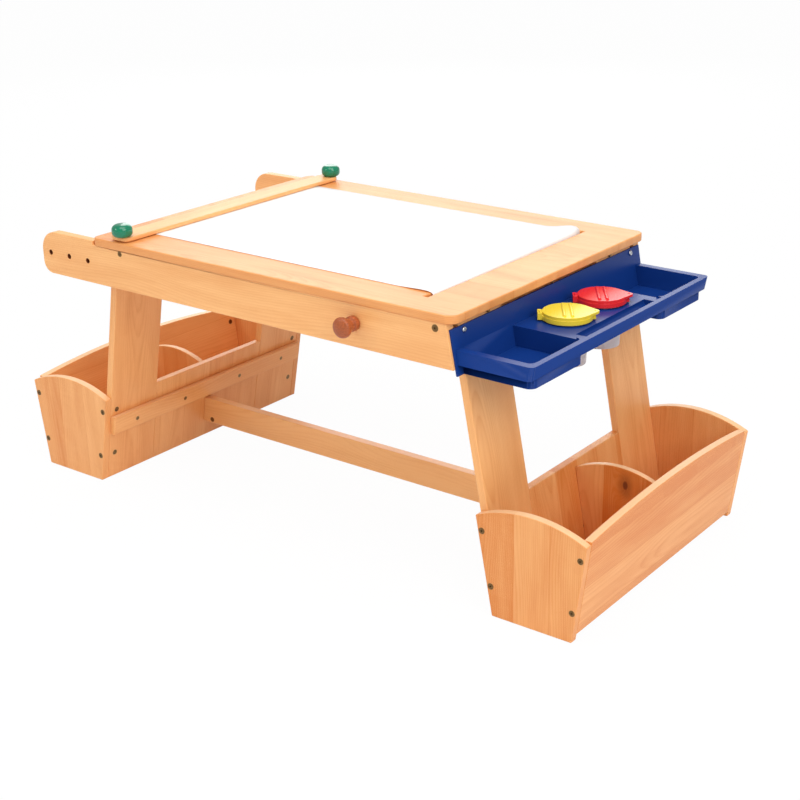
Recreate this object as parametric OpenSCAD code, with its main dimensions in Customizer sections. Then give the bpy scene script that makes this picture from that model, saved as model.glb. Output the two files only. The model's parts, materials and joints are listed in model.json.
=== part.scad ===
// Children's activity table with a paper roll, a paint tray and two storage bins.
// +X runs to the tray end, -Y to the near long side, +Z up.
// The origin is on the floor under the middle of the table.

/* [Table top] */
// Height of the upper face of the top above the floor
table_h = 510; // [460:1:560]
// Reach of the top from the middle to its left edge
top_left = 410; // [400:1:440]
// Reach of the top from the middle to its right edge
top_right = 405; // [398:1:420]
// Depth of the top from the near edge to the far edge
top_w = 610; // [560:1:680]
// Thickness of the top
top_t = 15; // [12:0.5:22]
// Corner radius at the left end of the top
top_r_left = 15; // [5:1:30]
// Corner radius at the tray end of the top
top_r_right = 20; // [8:1:40]

/* [Rails] */
// Height of a rail under the top
rail_h = 74; // [66:1:90]
// Thickness of a rail
rail_t = 18; // [16:0.5:22]
// Distance of a rail's outer face inside the edge of the top
rail_inset = 2; // [0:0.5:8]
// Reach of the rails from the middle to their left ends
rail_left = 552; // [520:1:600]
// Rise of the rail extensions above the underside of the top
rail_raise = 7.5; // [2:0.5:12]
// Radius of the upper corner of a rail extension
rail_nose_r = 38; // [20:1:42]
// Radius of the lower corner of a rail extension
rail_chin_r = 22; // [10:1:26]
// Diameter of the rack holes in the rail extensions
rack_d = 10; // [6:0.5:14]
// Spacing of the rack holes
rack_pitch = 51; // [40:1:54]
// Number of rack holes in each rail extension
rack_count = 3; // [1:1:3]
// Distance of the first rack hole from the left end of a rail
rack_start = 22.5; // [16:0.5:30]
// Height of the rack holes above the lower edge of a rail
rack_up = 41; // [30:0.5:48]

/* [Legs and aprons] */
// Lean of the legs from upright, in degrees
leg_lean = 10.6; // [8:0.1:12]
// Distance from the middle of the table to the inner face of a leg at the floor
leg_foot = 467.2; // [455:0.1:480]
// Width of a leg
leg_w = 121; // [100:1:135]
// Thickness of a leg
leg_t = 15; // [14:0.5:20]
// Gap between a leg's edge and the inner face of a rail
leg_gap = 12.5; // [8:0.5:20]
// Thickness of an apron
apron_t = 15; // [14:0.5:20]
// Depth of the apron bolts below the underside of the top
apron_bolt_drop = 10; // [9:0.5:20]

/* [Storage bins] */
// Lean of the outer panel of a bin from upright, in degrees
panel_lean = 7.7; // [5:0.1:10]
// Distance from the middle of the table to the outer face of a bin at the floor
panel_foot = 620; // [600:1:650]
// Thickness of the end panels and outer panels
panel_t = 15; // [12:0.5:18]
// Height of the crown of an end panel
end_peak = 199; // [185:1:215]
// Rise of an end panel's arched top
end_rise = 23.5; // [10:0.5:30]
// Height of the crown of an outer panel
outer_peak = 198; // [185:1:215]
// Rise of an outer panel's arched top
outer_rise = 18; // [6:0.5:26]
// Height of an outer panel's lower edge above the floor
outer_clear = 10; // [4:0.5:14]
// Height of the inner board between two legs
inner_top = 173; // [160:1:190]
// Height of the crown of a divider
divider_peak = 183; // [150:1:190]
// Radius of a divider's arched top
divider_r = 180; // [120:1:260]
// Thickness of a divider
divider_t = 12; // [9:0.5:15]
// Thickness of a bin's floor
floor_t = 9; // [6:0.5:12]
// Height of a bin's floor above the ground, to its underside
floor_up = 15; // [14:0.5:30]
// Height of the lower edge of a cleat
cleat_z = 99; // [96:1:110]
// Height of a cleat
cleat_h = 38; // [30:1:45]
// Thickness of a cleat
cleat_t = 12; // [9:0.5:16]
// Heights of the bolts in a bin's corners
bin_bolt_low = 54; // [45:1:60]
bin_bolt_high = 150; // [142:1:160]

/* [Stretcher] */
// Height of the stretcher's lower edge above the floor
stretcher_z = 37; // [30:1:38]
// Height of the stretcher board
stretcher_h = 54; // [45:1:56]
// Thickness of the stretcher board
stretcher_t = 18; // [15:0.5:22]
// Height of the barrel nuts above the stretcher's lower edge
stretcher_nut_up = 12; // [10:0.5:20]
// Distance of the barrel nuts from the stretcher's ends
stretcher_nut_in = 25; // [18:1:34]

/* [Paper] */
// Width of the paper on its roll
paper_w = 457; // [380:1:460]
// Offset of the paper towards the far side
paper_shift = 4.5; // [-6:0.5:6]
// Distance of the roll's axis from the middle of the table
rod_x = 207; // [190:1:220]
// Depth of the roll's axis below the underside of the top
rod_drop = 32; // [31:0.5:36]
// Diameter of the rod
rod_d = 16; // [12:0.5:19]
// Outer diameter of the cardboard core
core_d = 22; // [20:0.5:26]
// Outer diameter of the roll of paper
roll_d = 56; // [40:1:58]
// Distance of the paper slot from the middle of the table
slot_x = 307; // [298:1:316]
// Width of the paper slot
slot_w = 8; // [6:0.5:12]
// Length of the paper slot
slot_l = 486; // [474:1:500]
// Thickness that stands for the sheet of paper
sheet_t = 0.8; // [0.5:0.1:1]
// Height of the sheet's fold above the top, where it turns down into the slot
sheet_arch = 5.5; // [4:0.5:14]

/* [Paper clamp] */
// Distance of the clamp bar's centre line from the middle of the table
clamp_x = 345; // [335:1:360]
// Width of the clamp bar
bar_w = 44; // [34:1:50]
// Thickness of the clamp bar
bar_t = 8; // [6:0.5:12]
// Reach of the clamp bar past its studs
bar_past = 7; // [5:0.5:12]
// Offset of the studs from the bar's centre line, towards the middle of the table
stud_shift = 6; // [0:0.5:9]
// Corner radius of the clamp bar
bar_r = 12; // [4:1:16]
// Diameter of a clamp knob
clamp_knob_d = 38; // [30:1:42]
// Height of a clamp knob
clamp_knob_h = 23; // [18:1:27]
// Diameter of the studs in the clamp knobs
stud_d = 6; // [5:0.5:7]

/* [Tray] */
// Wall thickness of the moulded tray
tray_wall = 3; // [2:0.1:4]
// Distance of each end of the tray's rim inside the edge of the top
tray_inset = 12; // [8:0.5:20]
// Reach of the tray's rim from the middle of the table
tray_reach = 544; // [536:1:560]
// Depth of the rim's upper face below the top of the table
rim_drop = 58; // [54:1:62]
// Width of the tray's rim
rim_w = 10; // [8:0.5:13]
// Depth of the skirt under the rim
skirt_h = 24; // [18:0.5:30]
// Outer depth of the pockets below the rim
pocket_h = 41; // [34:1:50]
// Draft of the tray's front, as its run over its rise
front_draft = 0.19; // [0.05:0.01:0.25]
// Distance from the middle to a pocket's inner wall face
pocket_near = 133; // [125:1:145]
// Corner radius inside a pocket
pocket_r = 10; // [4:1:16]
// Overhang of the rim past the end wall of a pocket
pocket_inset = 12; // [8:1:18]
// Drop of the deck below the rim
deck_drop = 3; // [1.5:0.5:4]
// Height of the back plate above the rim
plate_up = 33; // [28:1:40]
// Distance of the back plate's screws inside the outer edges of the legs
tray_screw_in = 8.5; // [7:0.5:20]
// Depth of the back plate's screws below its upper edge
tray_screw_drop = 11; // [8:0.5:16]
// Reach of the back plate past each end of the rim
plate_past = 5; // [0:0.5:7]
// Corner radius of the tray's front
rim_r = 9; // [2:0.5:12]
// Spacing of the pegs over the plate's upper edge
peg_pitch = 193; // [170:1:205]
// Diameter of a peg's head
peg_d = 6.5; // [5.5:0.5:9]
// Width of the brush groove
groove_w = 20; // [12:0.5:22]
// Length of the brush groove
groove_l = 226; // [180:1:236]
// Depth of the brush groove below the deck
groove_depth = 12; // [11:0.5:16]

/* [Paint cups] */
// Distance of each cup from the middle of the tray
cup_y = 56; // [52:1:64]
// Distance of the cups from the middle of the table
cup_x = 459; // [455:1:462]
// Diameter of a cup where it passes the deck
cup_d = 71; // [62:1:74]
// Depth of a cup below the deck
cup_depth = 74; // [50:1:90]
// Narrowing of a cup's diameter towards its floor
cup_taper = 5; // [1:0.5:8]
// Wall thickness of a cup
cup_wall = 1.6; // [1.2:0.1:2.4]
// Diameter of a lid
lid_d = 86; // [84:1:90]
// Direction of the lids' tabs from the +X axis, in degrees
lid_turn = 35; // [0:1:90]

/* [Fasteners] */
// Diameter of the connector bolts
bolt_d = 6; // [5:0.5:7]
// Diameter of the barrel nuts
nut_d = 10; // [9:0.5:11]
// Diameter of the wood screws
screw_d = 4; // [3.5:0.5:5]

/* [Hidden] */
$fn = 64;

// Finishes, as colours
pine = "burlywood";
pine_dark = "peru";
steel = "silver";
zinc = "dimgray";

// Clearances
eps = 1;                 // how far a cut runs past the face that it opens
fit = 0.08;              // radial clearance of a turning or sliding round fit
fixed_fit = 0.1;         // radial clearance of a fastener in its hole
free_gap = 0.3;          // gap between parts that move past each other

// Heights of the frame
top_z = table_h - top_t;                     // underside of the top
rail_z = top_z - rail_h;                     // lower edge of the rails
rail_y1 = top_w / 2 - rail_inset;            // outer face of a rail
rail_y0 = rail_y1 - rail_t;                  // inner face of a rail
leg_y1 = rail_y0 - leg_gap;                  // outer edge of a leg
leg_y0 = leg_y1 - leg_w;                     // inner edge of a leg
bolt_zs = [bin_bolt_low, bin_bolt_high];
arc_fn = 720;                                // fineness of the long shallow arches

// Planes of the leaning boards, as distances from the middle at height z
function leg_in(z) = leg_foot - z * tan(leg_lean);
function leg_out(z) = leg_in(z) + leg_t / cos(leg_lean);
function leg_mid(z) = leg_in(z) + leg_t / cos(leg_lean) / 2;
function apron_in(z) = leg_in(z) - apron_t / cos(leg_lean);
function plate_out(z) = leg_out(z) + tray_wall / cos(leg_lean);
function plate_mid(z) = leg_out(z) + tray_wall / cos(leg_lean) / 2;
function panel_out(z) = panel_foot + z * tan(panel_lean);
function panel_in(z) = panel_out(z) - panel_t / cos(panel_lean);
function panel_mid(z) = panel_out(z) - panel_t / cos(panel_lean) / 2;
function arch_radius(half, rise) = (half * half + rise * rise) / (2 * rise);

// ---------- helpers ----------

// An outline drawn in the XZ plane, made a board that runs from y0 to y1
module along_y(y0, y1) {
  translate([0, y1, 0]) rotate([90, 0, 0]) linear_extrude(y1 - y0) children();
}

// An outline drawn in the YZ plane, made a slab that runs from x0 to x1
module along_x(x0, x1) {
  translate([x0, 0, 0]) rotate([90, 0, 90]) linear_extrude(x1 - x0) children();
}

// The left end is the right end turned over the middle plane
module at_end(side) {
  if (side > 0) children();
  else mirror([1, 0, 0]) children();
}

// The far side is the near side turned over the middle plane
module at_side(side) {
  if (side < 0) children();
  else mirror([0, 1, 0]) children();
}

// Local frame on the legs' inner plane at height z, with its Z axis square to the
// leg and pointing away from the middle of the table
module on_leg(y, z) {
  translate([leg_in(z), y, z]) rotate([0, 90 - leg_lean, 0]) children();
}

// A fastener whose head's face is at the origin and whose shank runs along +Z
module fastener(d, len, head_d, head_h) {
  cylinder(d = head_d, h = head_h);
  translate([0, 0, head_h]) cylinder(d = d, h = len - head_h);
}

// The hole that the same fastener needs
module fastener_hole(d, len, head_d, head_h) {
  translate([0, 0, -eps])
    cylinder(d = head_d + 2 * fixed_fit, h = head_h + eps);
  cylinder(d = d + 2 * fixed_fit, h = len + eps);
}

// Socket of a connector bolt's head
module hex_socket() {
  translate([0, 0, -eps]) cylinder(d = bolt_d * 0.7, h = bolt_d * 0.3 + eps, $fn = 6);
}

// ---------- table top ----------

module rounded_plan(x0, x1, half, r0, r1) {
  difference() {
    translate([x0, -half]) square([x1 - x0, 2 * half]);
    for (side = [-1, 1]) {
      translate([x0, side * half]) corner_cut(1, -side, r0);
      translate([x1, side * half]) corner_cut(-1, -side, r1);
    }
  }
}

// What a corner loses when it is rounded; sx and sy point into the outline
module corner_cut(sx, sy, r) {
  difference() {
    translate([sx > 0 ? -eps : -r, sy > 0 ? -eps : -r]) square(r + eps);
    translate([sx * r, sy * r]) circle(r = r);
  }
}

module table_top() {
  color(pine) difference() {
    translate([0, 0, top_z])
      linear_extrude(top_t)
        rounded_plan(-top_left, top_right, top_w / 2, top_r_left, top_r_right);
    translate([slot_x - slot_w / 2, -slot_l / 2, top_z - eps])
      cube([slot_w, slot_l, top_t + 2 * eps]);
    for (side = [-1, 1])
      translate([-stud_x, side * stud_y, top_z - eps])
        cylinder(d = stud_d + 1, h = top_t + 2 * eps);
  }
}

// ---------- rails ----------

stud_y = rail_y1 - rail_t / 2 - 2;           // studs, a little inside a rail's middle
stud_x = clamp_x - stud_shift;
stud_reach = 17;                             // reach of a stud below the top's underside
clamp_nut_drop = 6;                          // depth of the clamp's nuts below the underside
clamp_nut_l = rail_t - 2;
rod_z = top_z - rod_drop;
rack_z = rail_z + rack_up;
apron_bolt_z = top_z - apron_bolt_drop;
apron_bolt_head = bolt_d * 2;
apron_bolt_l = rail_t + 30;

module rail_outline() {
  crown = top_z + rail_raise;
  translate([-rail_left + rail_nose_r, crown - rail_nose_r]) circle(r = rail_nose_r);
  translate([-rail_left + rail_chin_r, rail_z + rail_chin_r]) circle(r = rail_chin_r);
  translate([-rail_left, rail_z + rail_chin_r])
    square([rail_nose_r, crown - rail_nose_r - rail_z - rail_chin_r]);
  translate([-rail_left + rail_chin_r, rail_z])
    square([rail_nose_r, crown - rail_nose_r - rail_z]);
  translate([-rail_left + rail_nose_r, rail_z])
    square([rail_left - rail_nose_r - top_left - free_gap, crown - rail_z]);
  polygon([[-rail_left + rail_nose_r, rail_z], [leg_out(rail_z), rail_z],
           [leg_out(top_z), top_z], [-rail_left + rail_nose_r, top_z]]);
}

module front_rail_body() {
  difference() {
    along_y(-rail_y1, -rail_y0) rail_outline();
    for (i = [0 : rack_count - 1])
      translate([-rail_left + rack_start + i * rack_pitch, -rail_y1 - eps, rack_z])
        rotate([-90, 0, 0]) cylinder(d = rack_d, h = rail_t + 2 * eps);
    translate([rod_x, -rail_y1 - eps, rod_z])
      rotate([-90, 0, 0]) cylinder(d = rod_d + 2 * fit, h = rail_t + 2 * eps);
    translate([-stud_x, -rail_y1 - eps, top_z - clamp_nut_drop])
      rotate([-90, 0, 0]) cylinder(d = nut_d + 2 * fixed_fit, h = clamp_nut_l + eps);
    translate([-stud_x, -stud_y, top_z - stud_reach - eps])
      cylinder(d = stud_d + 1, h = stud_reach + 2 * eps);
    apron_bolt_place()
      fastener_hole(bolt_d, apron_bolt_l, apron_bolt_head, bolt_d * 0.6);
    at_end(-1) dowel_holes();
  }
}

module front_rail() { color(pine) front_rail_body(); }
module back_rail() { color(pine) at_side(1) front_rail_body(); }

// ---------- aprons ----------

// The bolt runs through the rail into the end of the right apron
module apron_bolt_place() {
  translate([(leg_in(apron_bolt_z) + apron_in(apron_bolt_z)) / 2, -rail_y1, apron_bolt_z])
    rotate([-90, 0, 0]) children();
}

module apron_bolts() {
  color(zinc) for (side = [-1, 1]) at_side(side) apron_bolt_place() difference() {
    fastener(bolt_d, apron_bolt_l, apron_bolt_head, bolt_d * 0.6);
    hex_socket();
  }
}

// Dowels join the left apron's ends to the rails from inside
dowel_d = apron_t * 8 / 15;
dowel_in_rail = rail_t * 2 / 3;
dowel_l = dowel_in_rail + rail_t;
dowel_drop = rail_h * 0.27;                  // depth of the upper dowel below the top

module dowel_places() {
  for (drop = [dowel_drop, rail_h - dowel_drop]) {
    z = top_z - drop;
    translate([(leg_in(z) + apron_in(z)) / 2, -rail_y0 - dowel_in_rail, z])
      rotate([-90, 0, 0]) children();
  }
}

module dowel_holes() {
  dowel_places() translate([0, 0, -fixed_fit])
    cylinder(d = dowel_d + 2 * fixed_fit, h = dowel_l + 2 * fixed_fit);
}

module apron_dowels() {
  color(pine) for (side = [-1, 1]) at_end(-1) at_side(side)
    dowel_places() cylinder(d = dowel_d, h = dowel_l);
}

apron_screw_l = apron_t + leg_t - 5;
screw_head_d = screw_d * 2;
screw_head_h = screw_d * 0.6;

// Two screws hold each leg to its apron from the inner side
module apron_screw_places() {
  for (side = [-1, 1], dy = [-leg_w / 4, leg_w / 4])
    on_leg(side * (leg_y0 + leg_y1) / 2 + dy, top_z - rail_h / 2)
      translate([0, 0, -apron_t]) children();
}

module apron_body() {
  difference() {
    along_y(-rail_y0, rail_y0)
      polygon([[apron_in(rail_z), rail_z], [leg_in(rail_z), rail_z],
               [leg_in(top_z), top_z], [apron_in(top_z), top_z]]);
    apron_screw_places() fastener_hole(screw_d, apron_screw_l, screw_head_d, screw_head_h);
  }
}

module left_apron() {
  color(pine_dark) at_end(-1) difference() {
    apron_body();
    for (side = [-1, 1]) at_side(side) dowel_holes();
  }
}

module right_apron() {
  color(pine_dark) difference() {
    apron_body();
    for (side = [-1, 1]) at_side(side) apron_bolt_place()
      fastener_hole(bolt_d, apron_bolt_l, apron_bolt_head, bolt_d * 0.6);
    peg_place(0) peg_hole(peg_l + leg_t);
  }
}

module apron_screws() {
  color(zinc) for (end = [-1, 1]) at_end(end) apron_screw_places()
    fastener(screw_d, apron_screw_l, screw_head_d, screw_head_h);
}

// ---------- legs ----------

bin_bolt_l = panel_t + 24;
bin_bolt_head = bolt_d * 1.8;
bin_nut_l = 12.5;
bin_nut_in = bin_bolt_l - panel_t - 9;       // nuts, back from a board's end

module leg_body() {
  difference() {
    along_y(-leg_y1, -leg_y0)
      polygon([[leg_in(0), 0], [leg_out(0), 0], [leg_out(top_z), top_z], [leg_in(top_z), top_z]]);
    leg_bolt_places() fastener_hole(bolt_d, bin_bolt_l, bin_bolt_head, bolt_d * 0.6);
    leg_nut_places() nut_hole();
    apron_screw_places() fastener_hole(screw_d, apron_screw_l, screw_head_d, screw_head_h);
    cleat_screw_places() fastener_hole(screw_d, cleat_screw_l, screw_head_d, screw_head_h);
  }
}

module tray_leg_body() {
  difference() {
    leg_body();
    tray_screw_place() tray_screw_hole();
    peg_place(-peg_pitch) peg_hole(peg_l);
  }
}

module left_leg_front() { color(pine) at_end(-1) leg_body(); }
module left_leg_back() { color(pine) at_end(-1) at_side(1) leg_body(); }
module right_leg_front() { color(pine) tray_leg_body(); }
module right_leg_back() { color(pine) at_side(1) tray_leg_body(); }

// ---------- bins ----------

// Bolts run through the near end panel into the edges of the leg and the outer panel
module leg_bolt_places() {
  for (z = bolt_zs)
    translate([leg_mid(z), -leg_y1 - panel_t, z]) rotate([-90, 0, 0]) children();
}

module panel_bolt_places() {
  for (z = bolt_zs)
    translate([panel_mid(z), -leg_y1 - panel_t, z]) rotate([-90, 0, 0]) children();
}

// Barrel nuts lie across the bolts, open on the faces turned to the middle of the table
module leg_nut_places() {
  for (z = bolt_zs)
    translate([leg_mid(z), -leg_y1 + bin_nut_in, z])
      rotate([0, 90 - leg_lean, 0]) translate([0, 0, -leg_t / 2]) children();
}

module panel_nut_places() {
  for (z = bolt_zs)
    translate([panel_mid(z), -leg_y1 + bin_nut_in, z])
      rotate([0, 90 + panel_lean, 0]) translate([0, 0, -panel_t / 2]) children();
}

module nut_hole() {
  translate([0, 0, -eps]) cylinder(d = nut_d + 2 * fixed_fit, h = bin_nut_l + eps);
}

// A barrel nut with the cross hole that takes its bolt, along the local Y axis
module barrel_nut(len, cross_at, cross_d) {
  difference() {
    cylinder(d = nut_d, h = len);
    translate([0, nut_d, cross_at]) rotate([90, 0, 0]) cylinder(d = cross_d, h = 2 * nut_d);
    translate([-nut_d, -0.6, -eps]) cube([2 * nut_d, 1.2, 1 + eps]);
  }
}

module end_panel_outline() {
  shoulder = end_peak - end_rise;
  half = (panel_out(shoulder) - leg_in(shoulder)) / 2;
  r = arch_radius(half, end_rise);
  intersection() {
    polygon([[leg_in(0), 0], [panel_out(0), 0],
             [panel_out(end_peak), end_peak], [leg_in(end_peak), end_peak]]);
    translate([leg_in(shoulder) + half, end_peak - r]) circle(r = r, $fn = arc_fn);
  }
}

module end_panel_body() {
  difference() {
    along_y(-leg_y1 - panel_t, -leg_y1) end_panel_outline();
    leg_bolt_places() fastener_hole(bolt_d, bin_bolt_l, bin_bolt_head, bolt_d * 0.6);
    panel_bolt_places() fastener_hole(bolt_d, bin_bolt_l, bin_bolt_head, bolt_d * 0.6);
  }
}

module left_end_panel_front() { color(pine) at_end(-1) end_panel_body(); }
module left_end_panel_back() { color(pine) at_end(-1) at_side(1) end_panel_body(); }
module right_end_panel_front() { color(pine) end_panel_body(); }
module right_end_panel_back() { color(pine) at_side(1) end_panel_body(); }

// An arched outline in the YZ plane that a leaning slab is cut to
module arched(half, low, peak, rise) {
  r = arch_radius(half, rise);
  intersection() {
    translate([-half, low]) square([2 * half, peak - low]);
    translate([0, peak - r]) circle(r = r, $fn = arc_fn);
  }
}

module outer_panel_body() {
  difference() {
    intersection() {
      along_y(-leg_y1, leg_y1)
        polygon([[panel_in(0), 0], [panel_out(0), 0],
                 [panel_out(outer_peak), outer_peak], [panel_in(outer_peak), outer_peak]]);
      along_x(panel_in(0) - eps, panel_out(outer_peak) + eps)
        arched(leg_y1, outer_clear, outer_peak, outer_rise);
    }
    for (side = [-1, 1]) at_side(side) {
      panel_bolt_places() fastener_hole(bolt_d, bin_bolt_l, bin_bolt_head, bolt_d * 0.6);
      panel_nut_places() nut_hole();
    }
  }
}

module left_outer_panel() { color(pine) at_end(-1) outer_panel_body(); }
module right_outer_panel() { color(pine) outer_panel_body(); }

module inner_board_body() {
  difference() {
    along_y(-leg_y0, leg_y0)
      polygon([[leg_in(0), 0], [leg_out(0), 0],
               [leg_out(inner_top), inner_top], [leg_in(inner_top), inner_top]]);
    cleat_screw_places() fastener_hole(screw_d, cleat_screw_l, screw_head_d, screw_head_h);
    stretcher_bolt_place() stretcher_bolt_hole();
  }
}

module left_inner_board() { color(pine_dark) at_end(-1) inner_board_body(); }
module right_inner_board() { color(pine_dark) inner_board_body(); }

floor_z = floor_up + floor_t;

module divider_body() {
  centre = (leg_out(divider_peak) + panel_in(divider_peak)) / 2;
  along_y(-divider_t / 2, divider_t / 2) intersection() {
    polygon([[leg_out(floor_z), floor_z], [panel_in(floor_z), floor_z],
             [panel_in(divider_peak), divider_peak], [leg_out(divider_peak), divider_peak]]);
    translate([centre, divider_peak - divider_r]) circle(r = divider_r, $fn = arc_fn);
  }
}

module left_divider() { color(pine_dark) at_end(-1) divider_body(); }
module right_divider() { color(pine_dark) divider_body(); }

module bin_floor_body() {
  along_y(-leg_y1, leg_y1)
    polygon([[leg_out(floor_up), floor_up], [panel_in(floor_up), floor_up],
             [panel_in(floor_z), floor_z], [leg_out(floor_z), floor_z]]);
}

module left_bin_floor() { color(pine_dark) at_end(-1) bin_floor_body(); }
module right_bin_floor() { color(pine_dark) bin_floor_body(); }

// ---------- cleats ----------

cleat_screw_l = cleat_t + 11;
cleat_top = cleat_z + cleat_h;

// One screw into each leg's middle and two into the inner board
module cleat_screw_places() {
  leg_mid_y = (leg_y0 + leg_y1) / 2;
  for (y = [-leg_mid_y, -leg_y0 * 0.53, leg_y0 * 0.53, leg_mid_y])
    on_leg(y, cleat_z + cleat_h / 2) translate([0, 0, -cleat_t]) children();
}

module cleat_body() {
  run = cleat_t / cos(leg_lean);
  difference() {
    along_y(-leg_y1, leg_y1)
      polygon([[leg_in(cleat_z) - run, cleat_z], [leg_in(cleat_z), cleat_z],
               [leg_in(cleat_top), cleat_top], [leg_in(cleat_top) - run, cleat_top]]);
    cleat_screw_places() fastener_hole(screw_d, cleat_screw_l, screw_head_d, screw_head_h);
  }
}

module left_cleat() { color(pine_dark) at_end(-1) cleat_body(); }
module right_cleat() { color(pine_dark) cleat_body(); }

module cleat_screws() {
  color(zinc) for (end = [-1, 1]) at_end(end) cleat_screw_places()
    fastener(screw_d, cleat_screw_l, screw_head_d, screw_head_h);
}

// ---------- bin hardware ----------

module bin_bolts() {
  color(zinc) for (side = [-1, 1]) at_side(side) {
    leg_bolt_places() bin_bolt();
    panel_bolt_places() bin_bolt();
  }
}

module bin_bolt() {
  difference() {
    fastener(bolt_d, bin_bolt_l, bin_bolt_head, bolt_d * 0.6);
    hex_socket();
  }
}

module bin_nuts() {
  color(zinc) for (side = [-1, 1]) at_side(side) {
    leg_nut_places() barrel_nut(bin_nut_l, leg_t / 2, bolt_d + 2 * fixed_fit);
    panel_nut_places() barrel_nut(bin_nut_l, panel_t / 2, bolt_d + 2 * fixed_fit);
  }
}

module left_bin_bolts() { at_end(-1) bin_bolts(); }
module right_bin_bolts() { bin_bolts(); }
module left_bin_nuts() { at_end(-1) bin_nuts(); }
module right_bin_nuts() { bin_nuts(); }

// ---------- stretcher ----------

stretcher_top = stretcher_z + stretcher_h;
stretcher_nut_z = stretcher_z + stretcher_nut_up;
stretcher_bolt_l = leg_t + stretcher_nut_in + nut_d;
stretcher_nut_l = stretcher_t - 4;

// The bolt runs square through the inner board into the stretcher's end
module stretcher_bolt_place() {
  translate([leg_in(stretcher_nut_z), 0, stretcher_nut_z])
    rotate([0, 90 - leg_lean, 0])
      translate([0, 0, leg_t]) rotate([180, 0, 0]) children();
}

module stretcher_bolt_hole() {
  fastener_hole(bolt_d, stretcher_bolt_l, bin_bolt_head, bolt_d * 0.6);
}

module stretcher_nut_place() {
  translate([leg_in(stretcher_nut_z) - stretcher_nut_in * cos(leg_lean),
             -stretcher_t / 2, stretcher_nut_z - stretcher_nut_in * sin(leg_lean)])
    rotate([-90, 0, 0]) children();
}

module stretcher() {
  color(pine) difference() {
    along_y(-stretcher_t / 2, stretcher_t / 2)
      polygon([[-leg_in(stretcher_z), stretcher_z], [leg_in(stretcher_z), stretcher_z],
               [leg_in(stretcher_top), stretcher_top], [-leg_in(stretcher_top), stretcher_top]]);
    for (end = [-1, 1]) at_end(end) {
      stretcher_bolt_place() stretcher_bolt_hole();
      stretcher_nut_place() translate([0, 0, -eps])
        cylinder(d = nut_d + 2 * fixed_fit, h = stretcher_nut_l + eps);
    }
  }
}

module stretcher_bolts() {
  color(zinc) for (end = [-1, 1]) at_end(end) stretcher_bolt_place() difference() {
    fastener(bolt_d, stretcher_bolt_l, bin_bolt_head, bolt_d * 0.6);
    hex_socket();
  }
}

module stretcher_nuts() {
  color(zinc) for (end = [-1, 1]) at_end(end) stretcher_nut_place() difference() {
    cylinder(d = nut_d, h = stretcher_nut_l);
    translate([0, 0, stretcher_t / 2]) rotate([0, 0, -leg_lean]) rotate([0, 90, 0])
      translate([0, 0, -nut_d]) cylinder(d = bolt_d + 2 * fixed_fit, h = 2 * nut_d);
  }
}

// ---------- paper roll ----------

knob_len = 40;                               // reach of a rod knob from the rail
knob_r = 17.5;
knob_head_l = 19;                            // length of a knob's rounded head
knob_collar_r = 13;
knob_collar_l = 11;
knob_waist_r = 10.5;
knob_bore_l = 16;
rod_half = rail_y1 + free_gap + knob_bore_l;

module on_rod() { translate([rod_x, 0, rod_z]) rotate([90, 0, 0]) children(); }

module paper_rod() {
  color(pine) on_rod() translate([0, 0, -rod_half]) cylinder(d = rod_d, h = 2 * rod_half);
}

// A turned knob: collar, waist and a round head with a shallow domed face, with its foot
// at the origin
module turned_knob() {
  dome_r = arch_radius(knob_r, 5);
  color("sienna") difference() {
    rotate_extrude() {
      square([knob_collar_r - 2, knob_collar_l]);
      translate([0, 2]) square([knob_collar_r, knob_collar_l - 4]);
      for (z = [2, knob_collar_l - 2]) translate([knob_collar_r - 2, z]) circle(r = 2);
      square([knob_waist_r, knob_len - knob_head_l / 2]);
      intersection() {
        translate([0, knob_len - knob_head_l]) union() {
          square([knob_r - knob_head_l / 2, knob_head_l]);
          translate([knob_r - knob_head_l / 2, knob_head_l / 2]) circle(d = knob_head_l);
        }
        translate([0, knob_len - dome_r]) circle(r = dome_r, $fn = 180);
        square([knob_r + eps, knob_len]);
      }
    }
    translate([0, 0, -eps]) cylinder(d = rod_d + 2 * fit, h = knob_bore_l + eps);
  }
}

module rod_knob_front() {
  on_rod() translate([0, 0, rail_y1 + free_gap]) turned_knob();
}
module rod_knob_back() {
  at_side(1) rod_knob_front();
}

module on_paper() { on_rod() translate([0, 0, -paper_shift - paper_w / 2]) children(); }

module roll_core() {
  color("tan") on_paper() difference() {
    cylinder(d = core_d, h = paper_w);
    translate([0, 0, -eps]) cylinder(d = rod_d + 2 * fit, h = paper_w + 2 * eps);
  }
}

module paper_roll() {
  color("white") on_paper() difference() {
    cylinder(d = roll_d, h = paper_w);
    translate([0, 0, -eps]) cylinder(d = core_d, h = paper_w + 2 * eps);
  }
}

// The sheet lies flat, lifts into a low fold, drops through the slot and runs to the roll
sheet_z = table_h + free_gap + sheet_t / 2;
sheet_start = -clamp_x - bar_w / 2 + 4;
sheet_r = roll_d / 2 + 0.5 + sheet_t / 2;
sheet_leave = -62;                           // angle at which the sheet leaves the roll
bend = slot_x - 78;                          // where the sheet starts to lift
roll_pt = [rod_x + sheet_r * cos(sheet_leave), rod_z + sheet_r * sin(sheet_leave)];
fold_a = [[bend, sheet_z], [slot_x - 42, sheet_z], [slot_x - 1, sheet_z + 3 * sheet_arch],
          [slot_x, table_h - 2]];
fold_b = [[slot_x, table_h - 2], [slot_x + 0.6, top_z - 22],
          [roll_pt[0] - 52 * sin(sheet_leave), roll_pt[1] + 52 * cos(sheet_leave)], roll_pt];

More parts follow.
